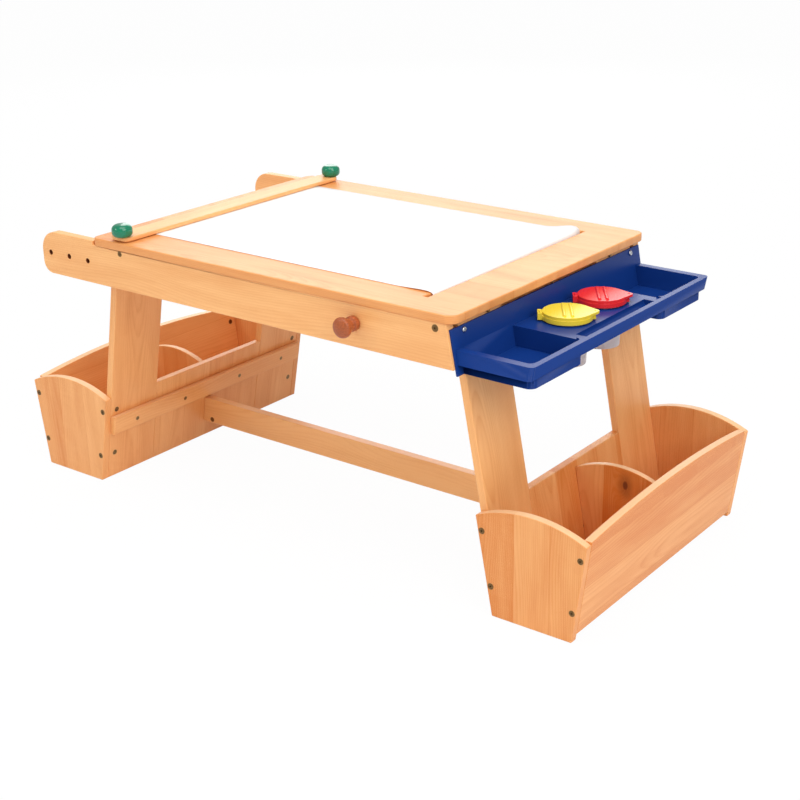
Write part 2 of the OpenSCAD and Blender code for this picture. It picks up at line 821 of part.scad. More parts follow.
function bezier(p, t) =
  pow(1 - t, 3) * p[0] + 3 * t * pow(1 - t, 2) * p[1]
  + 3 * t * t * (1 - t) * p[2] + pow(t, 3) * p[3];
function slope(p, t) =
  pow(1 - t, 2) * (p[1] - p[0]) + 2 * t * (1 - t) * (p[2] - p[1]) + t * t * (p[3] - p[2]);
function beside(p, t, gap) =
  let (d = slope(p, t), n = norm(d)) bezier(p, t) + gap * [-d[1], d[0]] / n;
function edge_points(gap) = concat(
  [[sheet_start, sheet_z + gap]],
  [for (i = [0 : 14]) beside(fold_a, i / 14, gap)],
  [for (i = [1 : 14]) beside(fold_b, i / 14, gap)]);
function backwards(list) = [for (i = [len(list) - 1 : -1 : 0]) list[i]];

module paper_sheet() {
  color("white") along_y(paper_shift - paper_w / 2, paper_shift + paper_w / 2)
    polygon(concat(edge_points(sheet_t / 2), backwards(edge_points(-sheet_t / 2))));
}

// ---------- paper clamp ----------

bar_z = sheet_z + sheet_t / 2 + free_gap;

module clamp_bar() {
  color(pine) difference() {
    translate([0, 0, bar_z]) linear_extrude(bar_t)
      rounded_plan(-clamp_x - bar_w / 2, -clamp_x + bar_w / 2, stud_y + bar_past, bar_r, bar_r);
    for (side = [-1, 1]) translate([-stud_x, side * stud_y, bar_z - eps])
      cylinder(d = stud_d + 2 * fit, h = bar_t + 2 * eps);
  }
}

module clamp_knob(side) {
  bulge = clamp_knob_h / 2;
  base = bar_z + bar_t + 0.1;
  translate([-stud_x, side * stud_y, 0]) {
    color("seagreen") translate([0, 0, base]) rotate_extrude() {
      square([clamp_knob_d / 2 - bulge, clamp_knob_h]);
      intersection() {
        translate([clamp_knob_d / 2 - bulge, bulge]) circle(r = bulge);
        square([clamp_knob_d, clamp_knob_h]);
      }
    }
    color(steel) translate([0, 0, top_z - stud_reach])
      cylinder(d = stud_d, h = base - top_z + stud_reach);
  }
}

module clamp_knob_front() { clamp_knob(-1); }
module clamp_knob_back() { clamp_knob(1); }

module clamp_nuts() {
  color(zinc) for (side = [-1, 1]) at_side(side)
    translate([-stud_x, -rail_y1, top_z - clamp_nut_drop])
      rotate([-90, 0, 0])
        barrel_nut(clamp_nut_l, rail_y1 - stud_y, stud_d + 2 * fixed_fit);
}

// ---------- tray ----------

tray_half = top_w / 2 - tray_inset;          // half of the rim's length
plate_half = tray_half + plate_past;
tray_screw_y = leg_y1 - tray_screw_in;
rim_z = table_h - rim_drop;
deck_z = rim_z - deck_drop;
skirt_z = rim_z - skirt_h;
pocket_z = rim_z - pocket_h;
plate_z = rim_z + plate_up;
pocket_far = tray_half - pocket_inset;       // end face of a pocket's wall
groove_x = front_in(rim_z) - groove_w / 2 - 4;

function front_out(z) = tray_reach - (rim_z - z) * front_draft;
function front_in(z) = front_out(z) - rim_w;

tray_screw_head = 10;
tray_screw_head_h = 3;
tray_screw_l = tray_wall + 12;

module tray_screw_place() {
  on_leg(-tray_screw_y, plate_z - tray_screw_drop)
    translate([0, 0, leg_t + tray_wall]) rotate([180, 0, 0]) children();
}

module tray_screw_hole() {
  cylinder(d = screw_d + 2 * fixed_fit, h = tray_screw_l + fixed_fit);
}

// Pegs stand over the plate's upper edge, which is notched under them. The outer two go
// into the legs. The middle one is longer, since it goes into the apron between them.
peg_head_h = 2;
peg_rise = 1;                                // height of a peg's axis above the edge
peg_l = tray_wall + 12;

module peg_place(y) {
  on_leg(y, plate_z) translate([-peg_rise, 0, leg_t + tray_wall + fixed_fit])
    rotate([180, 0, 0]) children();
}

module peg_hole(len) {
  cylinder(d = screw_d + 2 * fixed_fit, h = len + fixed_fit);
}

module peg(len) {
  translate([0, 0, -peg_head_h]) cylinder(d = peg_d, h = peg_head_h);
  cylinder(d = screw_d, h = len);
}

module peg_notches() {
  for (i = [-1 : 1]) on_leg(i * peg_pitch, plate_z) translate([0, 0, leg_t - eps]) {
    cylinder(d = screw_d + 1, h = tray_wall + 2 * eps);
    translate([-2 * peg_rise, -screw_d / 2 - 0.5, 0])
      cube([2 * peg_rise, screw_d + 1, tray_wall + 2 * eps]);
  }
}

// Profile between the back plate and the front wall, from low to high; it starts
// inside the plate, so that the two make one body
module tray_profile(low, high, skin) {
  polygon([[plate_mid(low), low], [front_out(low) - skin, low],
           [front_out(high) - skin, high], [plate_mid(high), high]]);
}

// Inside of a pocket, or with no skin its outside, which starts inside the plate; its
// back follows the plate, its front corners are rounded
module pocket_space(skin) {
  back = skin > 0 ? 0 : plate_mid(0) - plate_out(0);
  low = pocket_z + (skin > 0 ? tray_wall : 0);
  front = front_out(pocket_z) - skin;
  near = pocket_near - tray_wall + skin;
  far = pocket_far - skin;
  r = pocket_r + tray_wall - skin;
  intersection() {
    along_y(-far, -near)
      polygon([[plate_out(low) + back, low], [tray_reach, low], [tray_reach, rim_z + eps],
               [plate_out(rim_z + eps) + back, rim_z + eps]]);
    translate([0, 0, low - eps]) linear_extrude(rim_z + 2 * eps - low)
      difference() {
        translate([plate_out(rim_z) - 2 * tray_wall, -far])
          square([front - plate_out(rim_z) + 2 * tray_wall, far - near]);
        translate([front, -far]) corner_cut(-1, 1, r);
        translate([front, -near]) corner_cut(-1, -1, r);
      }
  }
}

module groove_shape(w, depth, len) {
  along_y(-len / 2, len / 2) {
    translate([-w / 2, deck_z - depth + w / 2]) square([w, depth - w / 2 + deck_drop + eps]);
    translate([0, deck_z - depth + w / 2]) circle(d = w);
  }
}

module plate() {
  difference() {
    along_y(-plate_half, plate_half)
      polygon([[leg_out(pocket_z), pocket_z], [plate_out(pocket_z), pocket_z],
               [plate_out(plate_z), plate_z], [leg_out(plate_z), plate_z]]);
    peg_notches();
  }
}

// Block between the plate and the drafted front, rounded at its front corners
module tray_block(low, high, skin) {
  half = tray_half - skin;
  difference() {
    along_y(-half, half) tray_profile(low, high, skin);
    multmatrix([[1, 0, front_draft, 0], [0, 1, 0, 0], [0, 0, 1, 0]])
      for (side = [-1, 1])
        translate([front_out(0) - skin, side * half, low - eps])
          linear_extrude(high - low + 2 * eps) corner_cut(-1, -side, rim_r - skin);
  }
}

// The moulded skin before its openings are cut: rim, skirt, deck, pockets and groove
module tray_skin() {
  difference() {
    tray_block(skirt_z, rim_z, 0);
    // hollow under the deck
    tray_block(skirt_z - eps, deck_z - tray_wall, tray_wall);
  }
  for (side = [-1, 1]) at_side(side) difference() {
    pocket_space(0);
    translate([0, -tray_half, rim_z]) cube([tray_reach, 2 * tray_half, 2 * eps]);
  }
  intersection() {
    translate([groove_x, 0, 0])
      groove_shape(groove_w + 2 * tray_wall, groove_depth + tray_wall, groove_l + 2 * tray_wall);
    along_y(-tray_half, tray_half) tray_profile(skirt_z, deck_z - tray_wall / 2, 0);
  }
  plate();
}

module tray() {
  color("mediumblue") difference() {
    tray_skin();
    // the deck lies a little below the rim
    along_y(-pocket_near, pocket_near)
      polygon([[plate_out(deck_z), deck_z], [front_in(rim_z), deck_z],
               [front_in(rim_z), rim_z + eps], [plate_out(rim_z + eps), rim_z + eps]]);
    for (side = [-1, 1]) at_side(side) {
      pocket_space(tray_wall);
      tray_screw_place() tray_screw_hole();
      translate([cup_x, -cup_y, deck_z - tray_wall - eps])
        cylinder(d = cup_d + 1.4, h = tray_wall + deck_drop + 2 * eps);
    }
    translate([groove_x, 0, 0]) groove_shape(groove_w, groove_depth, groove_l);
  }
}

module tray_screws() {
  color(steel) for (side = [-1, 1]) at_side(side) {
    tray_screw_place() {
      translate([0, 0, -tray_screw_head_h])
        cylinder(d = tray_screw_head, h = tray_screw_head_h);
      cylinder(d = screw_d, h = tray_screw_l);
    }
    peg_place(-peg_pitch) peg(peg_l);
  }
  color(steel) peg_place(0) peg(peg_l + leg_t);
}

// ---------- paint cups ----------

flange_t = 2.2;
flange_r = cup_d / 2 + 3.5;
neck_r = cup_d / 2 + 1.5;
neck_h = 6;
lid_wall_h = 8;                              // height of a lid's ring above the flange
mouth_r = 25;
hinge_r = lid_d / 2 + 2;                     // distance of the cap's hinge from the cup's axis
pin_d = 2.4;
knuckle_d = 4;
knuckle_w = 14;
ear_w = 4;
cap_t = 4.6;
flange_z = deck_z + free_gap;
ring_z = flange_z + flange_t;
ring_top = ring_z + lid_wall_h;
hinge_z = ring_top + free_gap + knuckle_d / 2;

module at_cup(side) {
  translate([cup_x, side * cup_y, 0]) rotate([0, 0, lid_turn]) children();
}

module cup(side) {
  floor_at = deck_z - cup_depth;
  low_r = (cup_d - cup_taper) / 2;
  color("ghostwhite", 0.6) at_cup(side) rotate_extrude()
    polygon([[0, floor_at], [low_r, floor_at], [cup_d / 2, flange_z], [flange_r, flange_z],
             [flange_r, ring_z], [neck_r, ring_z], [neck_r, ring_z + neck_h - 0.3],
             [neck_r - cup_wall, ring_z + neck_h - 0.3], [neck_r - cup_wall, flange_z],
             [low_r - cup_wall, floor_at + cup_wall], [0, floor_at + cup_wall]]);
}

module lid_ring(side, tint) {
  lug_w = knuckle_w + 2 * ear_w;
  color(tint) at_cup(side) difference() {
    union() {
      translate([0, 0, ring_z]) cylinder(d = lid_d, h = lid_wall_h);
      // lug of the hinge, as tall as the ring, with two ears on it
      translate([-hinge_r - 5, -lug_w / 2, ring_z]) cube([13, lug_w, lid_wall_h]);
      translate([-hinge_r - 5, -lug_w / 2, ring_top - 1])
        cube([7.4, lug_w, hinge_z - ring_top + 1 + 1.9]);
      // lug under the thumb tab
      translate([lid_d / 2 - 4, -7, ring_z]) cube([8, 14, lid_wall_h - 2]);
    }
    translate([0, 0, ring_z - eps]) cylinder(r = neck_r + fixed_fit, h = neck_h + eps);
    cylinder(r = mouth_r + 0.6, h = ring_top + eps);
    translate([-hinge_r, knuckle_w + ear_w, hinge_z]) rotate([90, 0, 0])
      cylinder(d = pin_d + 2 * fit, h = 2 * (knuckle_w + ear_w));
    // room for the knuckle between the ears
    translate([-hinge_r - 2.8, -knuckle_w / 2 - free_gap, ring_top])
      cube([8, knuckle_w + 2 * free_gap, 9]);
  }
}

// Outline of a cap: a disc drawn out to a small round at the thumb tab
tab_r = 5;
tab_reach = lid_d / 2 + 5;                   // distance of the tab's round from the cup's axis

module cap_plan() {
  r = lid_d / 2 - 1;
  a = acos((r - tab_r) / tab_reach);         // angle at which the straight sides leave the disc
  circle(r = r);
  translate([tab_reach, 0]) circle(r = tab_r);
  polygon([for (p = [[0, r, 1], [tab_reach, tab_r, 1], [tab_reach, tab_r, -1], [0, r, -1]])
    [p[0] + p[1] * cos(a), p[2] * p[1] * sin(a)]]);
}

module flip_cap(side, tint) {
  cap_z = ring_top + free_gap;
  color(tint) at_cup(side) {
    difference() {
      union() {
        translate([0, 0, cap_z]) linear_extrude(cap_t) cap_plan();
        // plug that closes the mouth
        translate([0, 0, ring_top - 4.5]) cylinder(r = mouth_r, h = 5.5);
        // tongue of the hinge
        translate([-hinge_r, -knuckle_w / 2, cap_z]) cube([8, knuckle_w, knuckle_d]);
      }
      // the cap's edge stops short of the hinge ears
      for (s = [-1, 1])
        translate([-hinge_r - 5, s > 0 ? knuckle_w / 2 : -knuckle_w / 2 - 9, cap_z - eps])
          cube([9, 9, cap_t + 2 * eps]);
      // the knuckle's outer side is round
      translate([-hinge_r - 5, -knuckle_w / 2 - eps, cap_z - eps])
        cube([5, knuckle_w + 2 * eps, cap_t + 2 * eps]);
      // dimple for a fingertip
      translate([tab_reach - 2, 0, cap_z + cap_t - 1.5]) cylinder(d = 4, h = 2);
    }
    translate([-hinge_r, knuckle_w / 2, hinge_z]) rotate([90, 0, 0])
      cylinder(d = knuckle_d, h = knuckle_w);
    translate([-hinge_r, knuckle_w / 2 + ear_w, hinge_z]) rotate([90, 0, 0])
      cylinder(d = pin_d, h = knuckle_w + 2 * ear_w);
    // pinch ridges across the cap, sloped on both sides
    for (x = [-6.5, 6.5])
      translate([x, 34, cap_z + cap_t - 0.2]) rotate([90, 0, 0]) linear_extrude(68)
        polygon([[-3.2, 0], [3.2, 0], [1.4, 3], [-1.4, 3]]);
  }
}

module yellow_cup() { cup(-1); }
module yellow_lid() { lid_ring(-1, "gold"); }
module yellow_cap() { flip_cap(-1, "gold"); }
module red_cup() { cup(1); }
module red_lid() { lid_ring(1, "red"); }
module red_cap() { flip_cap(1, "red"); }

table_top();
front_rail();
back_rail();
left_apron();
right_apron();
apron_bolts();
apron_dowels();
apron_screws();
left_leg_front();
left_leg_back();
right_leg_front();
right_leg_back();
left_inner_board();
right_inner_board();
left_outer_panel();
right_outer_panel();
left_end_panel_front();
left_end_panel_back();
right_end_panel_front();
right_end_panel_back();
left_divider();
right_divider();
left_bin_floor();
right_bin_floor();
left_cleat();
right_cleat();
cleat_screws();
left_bin_bolts();
right_bin_bolts();
left_bin_nuts();
right_bin_nuts();
stretcher();
stretcher_bolts();
stretcher_nuts();
paper_rod();
rod_knob_front();
rod_knob_back();
roll_core();
paper_roll();
paper_sheet();
clamp_bar();
clamp_knob_front();
clamp_knob_back();
clamp_nuts();
tray();
tray_screws();
yellow_cup();
yellow_lid();
yellow_cap();
red_cup();
red_lid();
red_cap();
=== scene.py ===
"""Children's activity table: pine boards, a paper roll, a paint tray and two storage bins.

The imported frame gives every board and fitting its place.  This script eases the
boards' edges, turns the knobs, winds the paper and gives each piece its finish.
"""

import json
import math

import bmesh
import bpy
from bpy.props import FloatProperty, FloatVectorProperty, IntProperty, PointerProperty
from mathutils import Matrix, Vector

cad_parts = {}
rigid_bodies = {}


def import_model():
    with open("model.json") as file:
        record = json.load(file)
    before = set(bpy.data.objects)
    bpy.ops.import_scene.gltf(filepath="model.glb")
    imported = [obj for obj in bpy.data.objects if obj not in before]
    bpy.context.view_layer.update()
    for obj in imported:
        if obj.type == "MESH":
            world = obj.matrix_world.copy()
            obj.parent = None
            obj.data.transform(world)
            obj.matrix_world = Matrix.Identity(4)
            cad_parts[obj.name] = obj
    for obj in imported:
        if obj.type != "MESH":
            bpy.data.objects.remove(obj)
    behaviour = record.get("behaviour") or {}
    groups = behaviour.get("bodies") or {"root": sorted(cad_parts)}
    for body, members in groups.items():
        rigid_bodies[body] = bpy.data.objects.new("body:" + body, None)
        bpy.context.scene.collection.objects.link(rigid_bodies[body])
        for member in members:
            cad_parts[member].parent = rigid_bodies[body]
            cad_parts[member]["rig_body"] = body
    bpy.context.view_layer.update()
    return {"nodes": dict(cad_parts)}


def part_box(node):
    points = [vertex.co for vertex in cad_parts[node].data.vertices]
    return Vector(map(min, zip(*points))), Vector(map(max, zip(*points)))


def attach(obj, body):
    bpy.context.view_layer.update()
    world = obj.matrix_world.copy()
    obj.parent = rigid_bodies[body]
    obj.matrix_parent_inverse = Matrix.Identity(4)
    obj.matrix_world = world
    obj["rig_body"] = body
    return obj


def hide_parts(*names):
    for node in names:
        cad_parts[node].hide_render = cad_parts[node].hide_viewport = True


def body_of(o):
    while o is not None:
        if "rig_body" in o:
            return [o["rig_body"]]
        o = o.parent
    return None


bl_info = {
    "name": "Activity Table",
    "version": (1, 0, 0),
    "blender": (4, 5, 0),
    "location": "3D View > Sidebar > Activity Table",
    "description": "Builds a children's activity table piece by piece",
    "category": "Add Mesh",
}

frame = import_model()
MM = 0.001

# Places and sizes that the frame gives, in metres
TOP_LOW, TOP_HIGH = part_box("table_top")
ROLL_LOW, ROLL_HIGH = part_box("paper_roll")
CORE_LOW, CORE_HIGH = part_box("roll_core")
SHEET_LOW, SHEET_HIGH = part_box("paper_sheet")
ROD_LOW, ROD_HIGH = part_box("paper_rod")
TABLE_Z = TOP_HIGH.z
TOP_UNDER = TOP_LOW.z
ROLL_X = (ROLL_LOW.x + ROLL_HIGH.x) / 2
ROLL_Z = (ROLL_LOW.z + ROLL_HIGH.z) / 2
ROLL_R = (ROLL_HIGH.x - ROLL_LOW.x) / 2
CORE_R = (CORE_HIGH.x - CORE_LOW.x) / 2
ROD_R = (ROD_HIGH.x - ROD_LOW.x) / 2

# Places and angles as in the part's source
SLOT_X = 307 * MM            # middle of the slot that the sheet goes down through
LEG_LEAN = math.radians(10.6)
PANEL_LEAN = math.radians(7.7)
PLAY = 0.08 * MM             # of a bore round the rod

# The camera, worked out from the object's own lines
CAMERA_PLACE = Vector((1.6716, -2.0654, 1.2309))
CAMERA_YAW = math.radians(35.52)
CAMERA_PITCH = math.radians(21.68)
CAMERA_ROLL = math.radians(-0.25)
CAMERA_LENS = 66.948         # mm on a 36 mm sensor
CAMERA_SHIFT = (-0.0733, 0.0038)


def linear(hex_colour):
    """sRGB hex text to a linear RGBA colour."""
    values = [int(hex_colour[i:i + 2], 16) / 255 for i in (1, 3, 5)]
    return [v / 12.92 if v <= 0.04045 else ((v + 0.055) / 1.055) ** 2.4 for v in values] + [1.0]


# ---------- what a user may change ----------

def length(name, description, default):
    """A length in metres, as a property."""
    return FloatProperty(name=name, description=description, default=default,
                         min=0.0, unit="LENGTH", precision=4)


def colour(name, description, default):
    """A colour, as a property, from its sRGB hex text."""
    return FloatVectorProperty(name=name, description=description, default=linear(default),
                               size=4, min=0.0, max=1.0, subtype="COLOR")


class TableSizes(bpy.types.PropertyGroup):
    """Sizes of the finish work on the table."""

    board_ease: length("Board edge", "Radius of the boards' eased edges", 1.6 * MM)
    top_ease: length("Top edge", "Radius of the table top's eased edges", 2.2 * MM)
    hole_ease: length("Hole edge", "Chamfer round the bolt and screw holes", 0.5 * MM)
    mould_ease: length("Moulded edge", "Radius of the tray's edges", 0.9 * MM)
    stave: length("Stave width", "Width of the staves glued into a wide board", 68 * MM)
    ring: length("Growth ring", "Distance between two growth rings", 2.8 * MM)
    windings: IntProperty(name="Windings", description="Windings shown at the roll's ends",
                          default=15, min=4, max=40)


class TableColours(bpy.types.PropertyGroup):
    """Colours of the table's finishes."""

    pine_light: colour("Early wood", "Pale wood between the growth rings", "#FCC17F")
    pine_dark: colour("Late wood", "Darker wood of the growth rings", "#D98036")
    # painted light on the boards' upper edges, not a paler wood
    edge_light: colour("Painted edge light", "Painted light on the upper edges", "#FFDCAE")
    knot: colour("Knot", "Heart of a knot", "#7A3F1E")
    turned: colour("Turned wood", "Stain on the rod's knobs", "#A4552E")
    green: colour("Green", "Enamel on the clamp's knobs", "#067A58")
    blue: colour("Blue", "Plastic of the tray", "#13377F")
    yellow: colour("Yellow", "Plastic of the yellow lid", "#F7D93C")
    red: colour("Red", "Plastic of the red lid", "#EE2C2E")
    cup: colour("Cup", "Frosted plastic of the cups", "#E9E2E6")
    paper: colour("Paper", "Drawing paper", "#F7F7F7")
    card: colour("Cardboard", "Core of the roll", "#B48B5C")
    zinc: colour("Zinc", "Browned zinc of bolts and screws", "#7F6341")
    steel: colour("Steel", "Bright screws of the tray", "#C9CBCE")
    floor: colour("Floor", "Studio floor", "#FAFAFA")


def sizes():
    """The sizes, as the user may have changed them."""
    return bpy.context.scene.table_sizes


def colours():
    """The colours, as the user may have changed them."""
    return bpy.context.scene.table_colours


# ---------- materials ----------

def set_inputs(tree, node, inputs):
    """Give each of the node's inputs its value, or link the socket that is given."""
    for key, value in inputs.items():
        if isinstance(value, bpy.types.NodeSocket):
            tree.links.new(value, node.inputs[key])
        else:
            node.inputs[key].default_value = value


def add_node(tree, kind, inputs=None, **settings):
    """Add a shader node with its settings and its inputs."""
    node = tree.nodes.new(kind)
    for name, value in settings.items():
        setattr(node, name, value)
    set_inputs(tree, node, inputs or {})
    return node


def new_material(name):
    """An empty material with its principled shader; gives material, tree and shader."""
    material = bpy.data.materials.new(name)
    material.use_nodes = True
    tree = material.node_tree
    return material, tree, tree.nodes["Principled BSDF"]


def math_node(tree, operation, a, b=0.0, clamp=False):
    """Output of a Math node."""
    return add_node(tree, "ShaderNodeMath", {0: a, 1: b}, operation=operation,
                    use_clamp=clamp).outputs[0]


def attribute_node(tree, name):
    """The node that reads one of the attributes which the boards carry."""
    return add_node(tree, "ShaderNodeAttribute", attribute_name=name)


# how far each feature takes the wood from its pale to its dark colour
RING_SHARE = 0.24
FIBRE_SHARE = 0.34
CLOUD_SHARE = 0.7
STAVE_SHARE = 0.85
PALEST_STAVE = 0.07
JOINT_SHARE = 0.3
# features per metre along, across and into the board
FIBRE_PITCH = (26.0, 1500.0, 1500.0)
CLOUD_PITCH = (5.0, 42.0, 42.0)
# a growth ring's darkness: a hard start, pale early wood, a slow rise to the late wood
RING_RAMP = ((0.0, 0.32), (0.14, 0.0), (0.5, 0.12), (0.86, 0.75), (0.95, 0.9), (1.0, 0.32))
KNOT_REACH = 34 * MM         # how far off a knot still bends the rings
KNOT_BEND = 16 * MM
KNOT_ROUND = (0.6, 1.0, 0.25)
KNOT_HEART = (3.5 * MM, 7.5 * MM)    # the dark heart ends between these distances
KNOT_HALO = (5 * MM, 20 * MM)
JOINT_LINE = (0.2 * MM, 0.9 * MM)    # half the width of the line between two staves


def ring_radius(tree, along, across, deep, stave, number, chance):
    """Distance from the pith of the stave's timber, which wanders along the log."""
    def add(a, b):
        return math_node(tree, "ADD", a, b)

    def times(a, b):
        return math_node(tree, "MULTIPLY", a, b)

    def less(a, b):
        return math_node(tree, "SUBTRACT", a, b)

    r1, r2, r3 = chance
    drift_at = add_node(tree, "ShaderNodeCombineXYZ", {
        0: times(along, 2.2), 1: times(r1, 40.0), 2: times(across, 1.5)}).outputs[0]
    drift = add_node(tree, "ShaderNodeTexNoise", {"Vector": drift_at, "Scale": 1.0,
                                                  "Detail": 1.0, "Roughness": 0.4})
    sway, rise, _ = add_node(tree, "ShaderNodeSeparateXYZ", {0: drift.outputs["Color"]}).outputs
    middle = times(add(number, 0.5), stave)
    offset = times(less(r2, 0.5), 0.16)
    side = add(add(less(across, middle), offset), times(less(sway, 0.5), 0.04))
    down = add(add(add(deep, times(r3, 0.05)), 0.02), times(rise, 0.05))
    return math_node(tree, "SQRT", add(times(side, side), times(down, down)))


def varnished_pine():
    """Plain-sawn pine staves under clear satin varnish.

    The eye sees long arched growth rings, a change of tone from stave to stave, fine
    fibres along the grain and a soft sheen.  The boards carry their grain frame, their
    stave width and their knot as attributes.  Gives the material, its tree and shader,
    the wood's colour and the sockets that the relief and the knot need.
    """
    c, s = colours(), sizes()
    material, tree, shader = new_material("varnished_pine")

    def add(a, b, clamp=False):
        return math_node(tree, "ADD", a, b, clamp)

    def off_middle(value, middle, share):
        return math_node(tree, "MULTIPLY", math_node(tree, "SUBTRACT", value, middle), share)

    def noise(at, pitch, detail):
        place = add_node(tree, "ShaderNodeVectorMath", {0: at, 1: pitch},
                         operation="MULTIPLY").outputs[0]
        return add_node(tree, "ShaderNodeTexNoise", {"Vector": place, "Scale": 1.0,
                                                     "Detail": detail}).outputs["Fac"]

    grain = attribute_node(tree, "grain").outputs["Vector"]
    knot_at = attribute_node(tree, "knot").outputs["Vector"]
    board = attribute_node(tree, "board").outputs["Vector"]
    along, across, deep = add_node(tree, "ShaderNodeSeparateXYZ", {0: grain}).outputs
    stave, seed, tint = add_node(tree, "ShaderNodeSeparateXYZ", {0: board}).outputs
    # each stave is its own piece of timber
    number = math_node(tree, "FLOOR", math_node(tree, "DIVIDE", across, stave))
    timber = add_node(tree, "ShaderNodeCombineXYZ", {0: number, 1: seed}).outputs[0]
    chance = add_node(tree, "ShaderNodeTexWhiteNoise", {"Vector": timber},
                      noise_dimensions="2D").outputs["Color"]
    chance = add_node(tree, "ShaderNodeSeparateXYZ", {0: chance}).outputs
    radius = ring_radius(tree, along, across, deep, stave, number, chance)
    # rings bend round a knot
    knot_flat = add_node(tree, "ShaderNodeVectorMath", {0: knot_at, 1: KNOT_ROUND},
                         operation="MULTIPLY").outputs[0]
    knot_far = add_node(tree, "ShaderNodeVectorMath", {0: knot_flat},
                        operation="LENGTH").outputs["Value"]
    bend = add_node(tree, "ShaderNodeMapRange",
                    {"Value": knot_far, "From Min": 0.0, "From Max": KNOT_REACH,
                     "To Min": KNOT_BEND, "To Max": 0.0}, interpolation_type="SMOOTHERSTEP")
    radius = add(radius, bend.outputs[0])
    ring = math_node(tree, "FRACT", math_node(tree, "DIVIDE", radius, s.ring))
    late = add_node(tree, "ShaderNodeValToRGB", {0: ring})
    stops = late.color_ramp.elements
    for i, (position, level) in enumerate(RING_RAMP):
        stop = stops[i] if i < 2 else stops.new(position)
        stop.position, stop.color = position, (level, level, level, 1)
    # fibres, about 0.5 mm wide and some centimetres long, and broad clouds of stain
    fibre = noise(grain, FIBRE_PITCH, 2.0)
    cloud = noise(grain, CLOUD_PITCH, 3.0)
    amount = math_node(tree, "MULTIPLY", late.outputs["Color"], RING_SHARE)
    amount = add(amount, off_middle(fibre, 0.5, FIBRE_SHARE))
    amount = add(amount, off_middle(cloud, 0.5, CLOUD_SHARE))
    # a thin dark line where two staves meet
    part = math_node(tree, "FRACT", math_node(tree, "DIVIDE", across, stave))
    edge = math_node(tree, "MINIMUM", part, math_node(tree, "SUBTRACT", 1.0, part))
    joint = add_node(tree, "ShaderNodeMapRange", {
        "Value": math_node(tree, "MULTIPLY", edge, stave), "From Min": JOINT_LINE[0],
        "From Max": JOINT_LINE[1], "To Min": JOINT_SHARE, "To Max": 0.0})
    amount = add(amount, joint.outputs[0])
    tone = add(off_middle(chance[0], PALEST_STAVE, STAVE_SHARE), tint)
    wood = add_node(tree, "ShaderNodeMix", {
        "Factor": add(amount, tone, clamp=True), "A": tuple(c.pine_light),
        "B": tuple(c.pine_dark)}, data_type="RGBA").outputs["Result"]
    return material, tree, shader, wood, knot_far, late.outputs["Color"], fibre


def pine_finish():
    """Finish of the pine: colours, knots, painted light on the upper edges, sheen and the
    raised late wood.
    """
    c = colours()
    material, tree, shader, wood, knot_far, late, fibre = varnished_pine()
    heart = add_node(tree, "ShaderNodeMapRange",
                     {"Value": knot_far, "From Min": KNOT_HEART[0], "From Max": KNOT_HEART[1],
                      "To Min": 1.0, "To Max": 0.0}, interpolation_type="SMOOTHSTEP")
    halo = add_node(tree, "ShaderNodeMapRange",
                    {"Value": knot_far, "From Min": KNOT_HALO[0], "From Max": KNOT_HALO[1],
                     "To Min": 0.45, "To Max": 0.0}, interpolation_type="SMOOTHSTEP")
    dark = math_node(tree, "MAXIMUM", heart.outputs[0], halo.outputs[0])
    # painted light: upper edges that face up are mixed towards a pale colour, as if lit from
    # above
    edge = attribute_node(tree, "painted_light_mask").outputs["Fac"]
    pale = add_node(tree, "ShaderNodeMix", {"Factor": edge, "A": wood, "B": tuple(c.edge_light)},
                    data_type="RGBA")
    body = add_node(tree, "ShaderNodeMix", {"Factor": dark, "A": pale.outputs["Result"],
                                            "B": tuple(c.knot)}, data_type="RGBA")
    relief = math_node(tree, "ADD", late, math_node(tree, "MULTIPLY", fibre, 0.6))
    bump = add_node(tree, "ShaderNodeBump", {"Strength": 0.25, "Distance": 0.2 * MM,
                                             "Height": relief})
    rough = add_node(tree, "ShaderNodeMapRange", {"Value": fibre, "To Min": 0.36,
                                                  "To Max": 0.48})
    set_inputs(tree, shader, {"Base Color": body.outputs["Result"],
                              "Roughness": rough.outputs[0], "IOR": 1.5,
                              "Normal": bump.outputs[0], "Specular IOR Level": 0.45})
    return material


def object_noise(tree, scale, detail=2.0, stretch=(1.0, 1.0, 1.0)):
    """Noise on Object coordinates; scale is in features per metre."""
    place = add_node(tree, "ShaderNodeTexCoord").outputs["Object"]
    place = add_node(tree, "ShaderNodeVectorMath", {0: place, 1: stretch},
                     operation="MULTIPLY").outputs[0]
    return add_node(tree, "ShaderNodeTexNoise", {"Vector": place, "Scale": scale,
                                                 "Detail": detail}).outputs["Fac"]


def two_tone(tree, factor, base, change):
    """A colour that the factor takes from a little darker to a little lighter."""
    low = tuple(v * (1 - change) for v in base[:3]) + (1.0,)
    high = tuple(min(1.0, v * (1 + change)) for v in base[:3]) + (1.0,)
    return add_node(tree, "ShaderNodeMix", {"Factor": factor, "A": low, "B": high},
                    data_type="RGBA").outputs["Result"]


def simple_finish(name, base, roughness, noise_scale, change, bump_depth=0.0,
                  stretch=(1.0, 1.0, 1.0), **extra):
    """A finish whose colour and relief follow one noise at a real scale."""
    material, tree, shader = new_material(name)
    noise = object_noise(tree, noise_scale, stretch=stretch)
    spread = add_node(tree, "ShaderNodeMapRange", {"Value": noise, "From Min": 0.3,
                                                   "From Max": 0.7})
    rough = add_node(tree, "ShaderNodeMapRange",
                     {"Value": noise, "To Min": roughness - 0.04, "To Max": roughness + 0.04})
    set_inputs(tree, shader, {
        "Base Color": two_tone(tree, spread.outputs[0], base, change),
        "Roughness": rough.outputs[0]})
    if bump_depth:
        bump = add_node(tree, "ShaderNodeBump", {"Strength": 0.4, "Distance": bump_depth,
                                                 "Height": noise})
        set_inputs(tree, shader, {"Normal": bump.outputs[0]})
    set_inputs(tree, shader, extra)
    return material


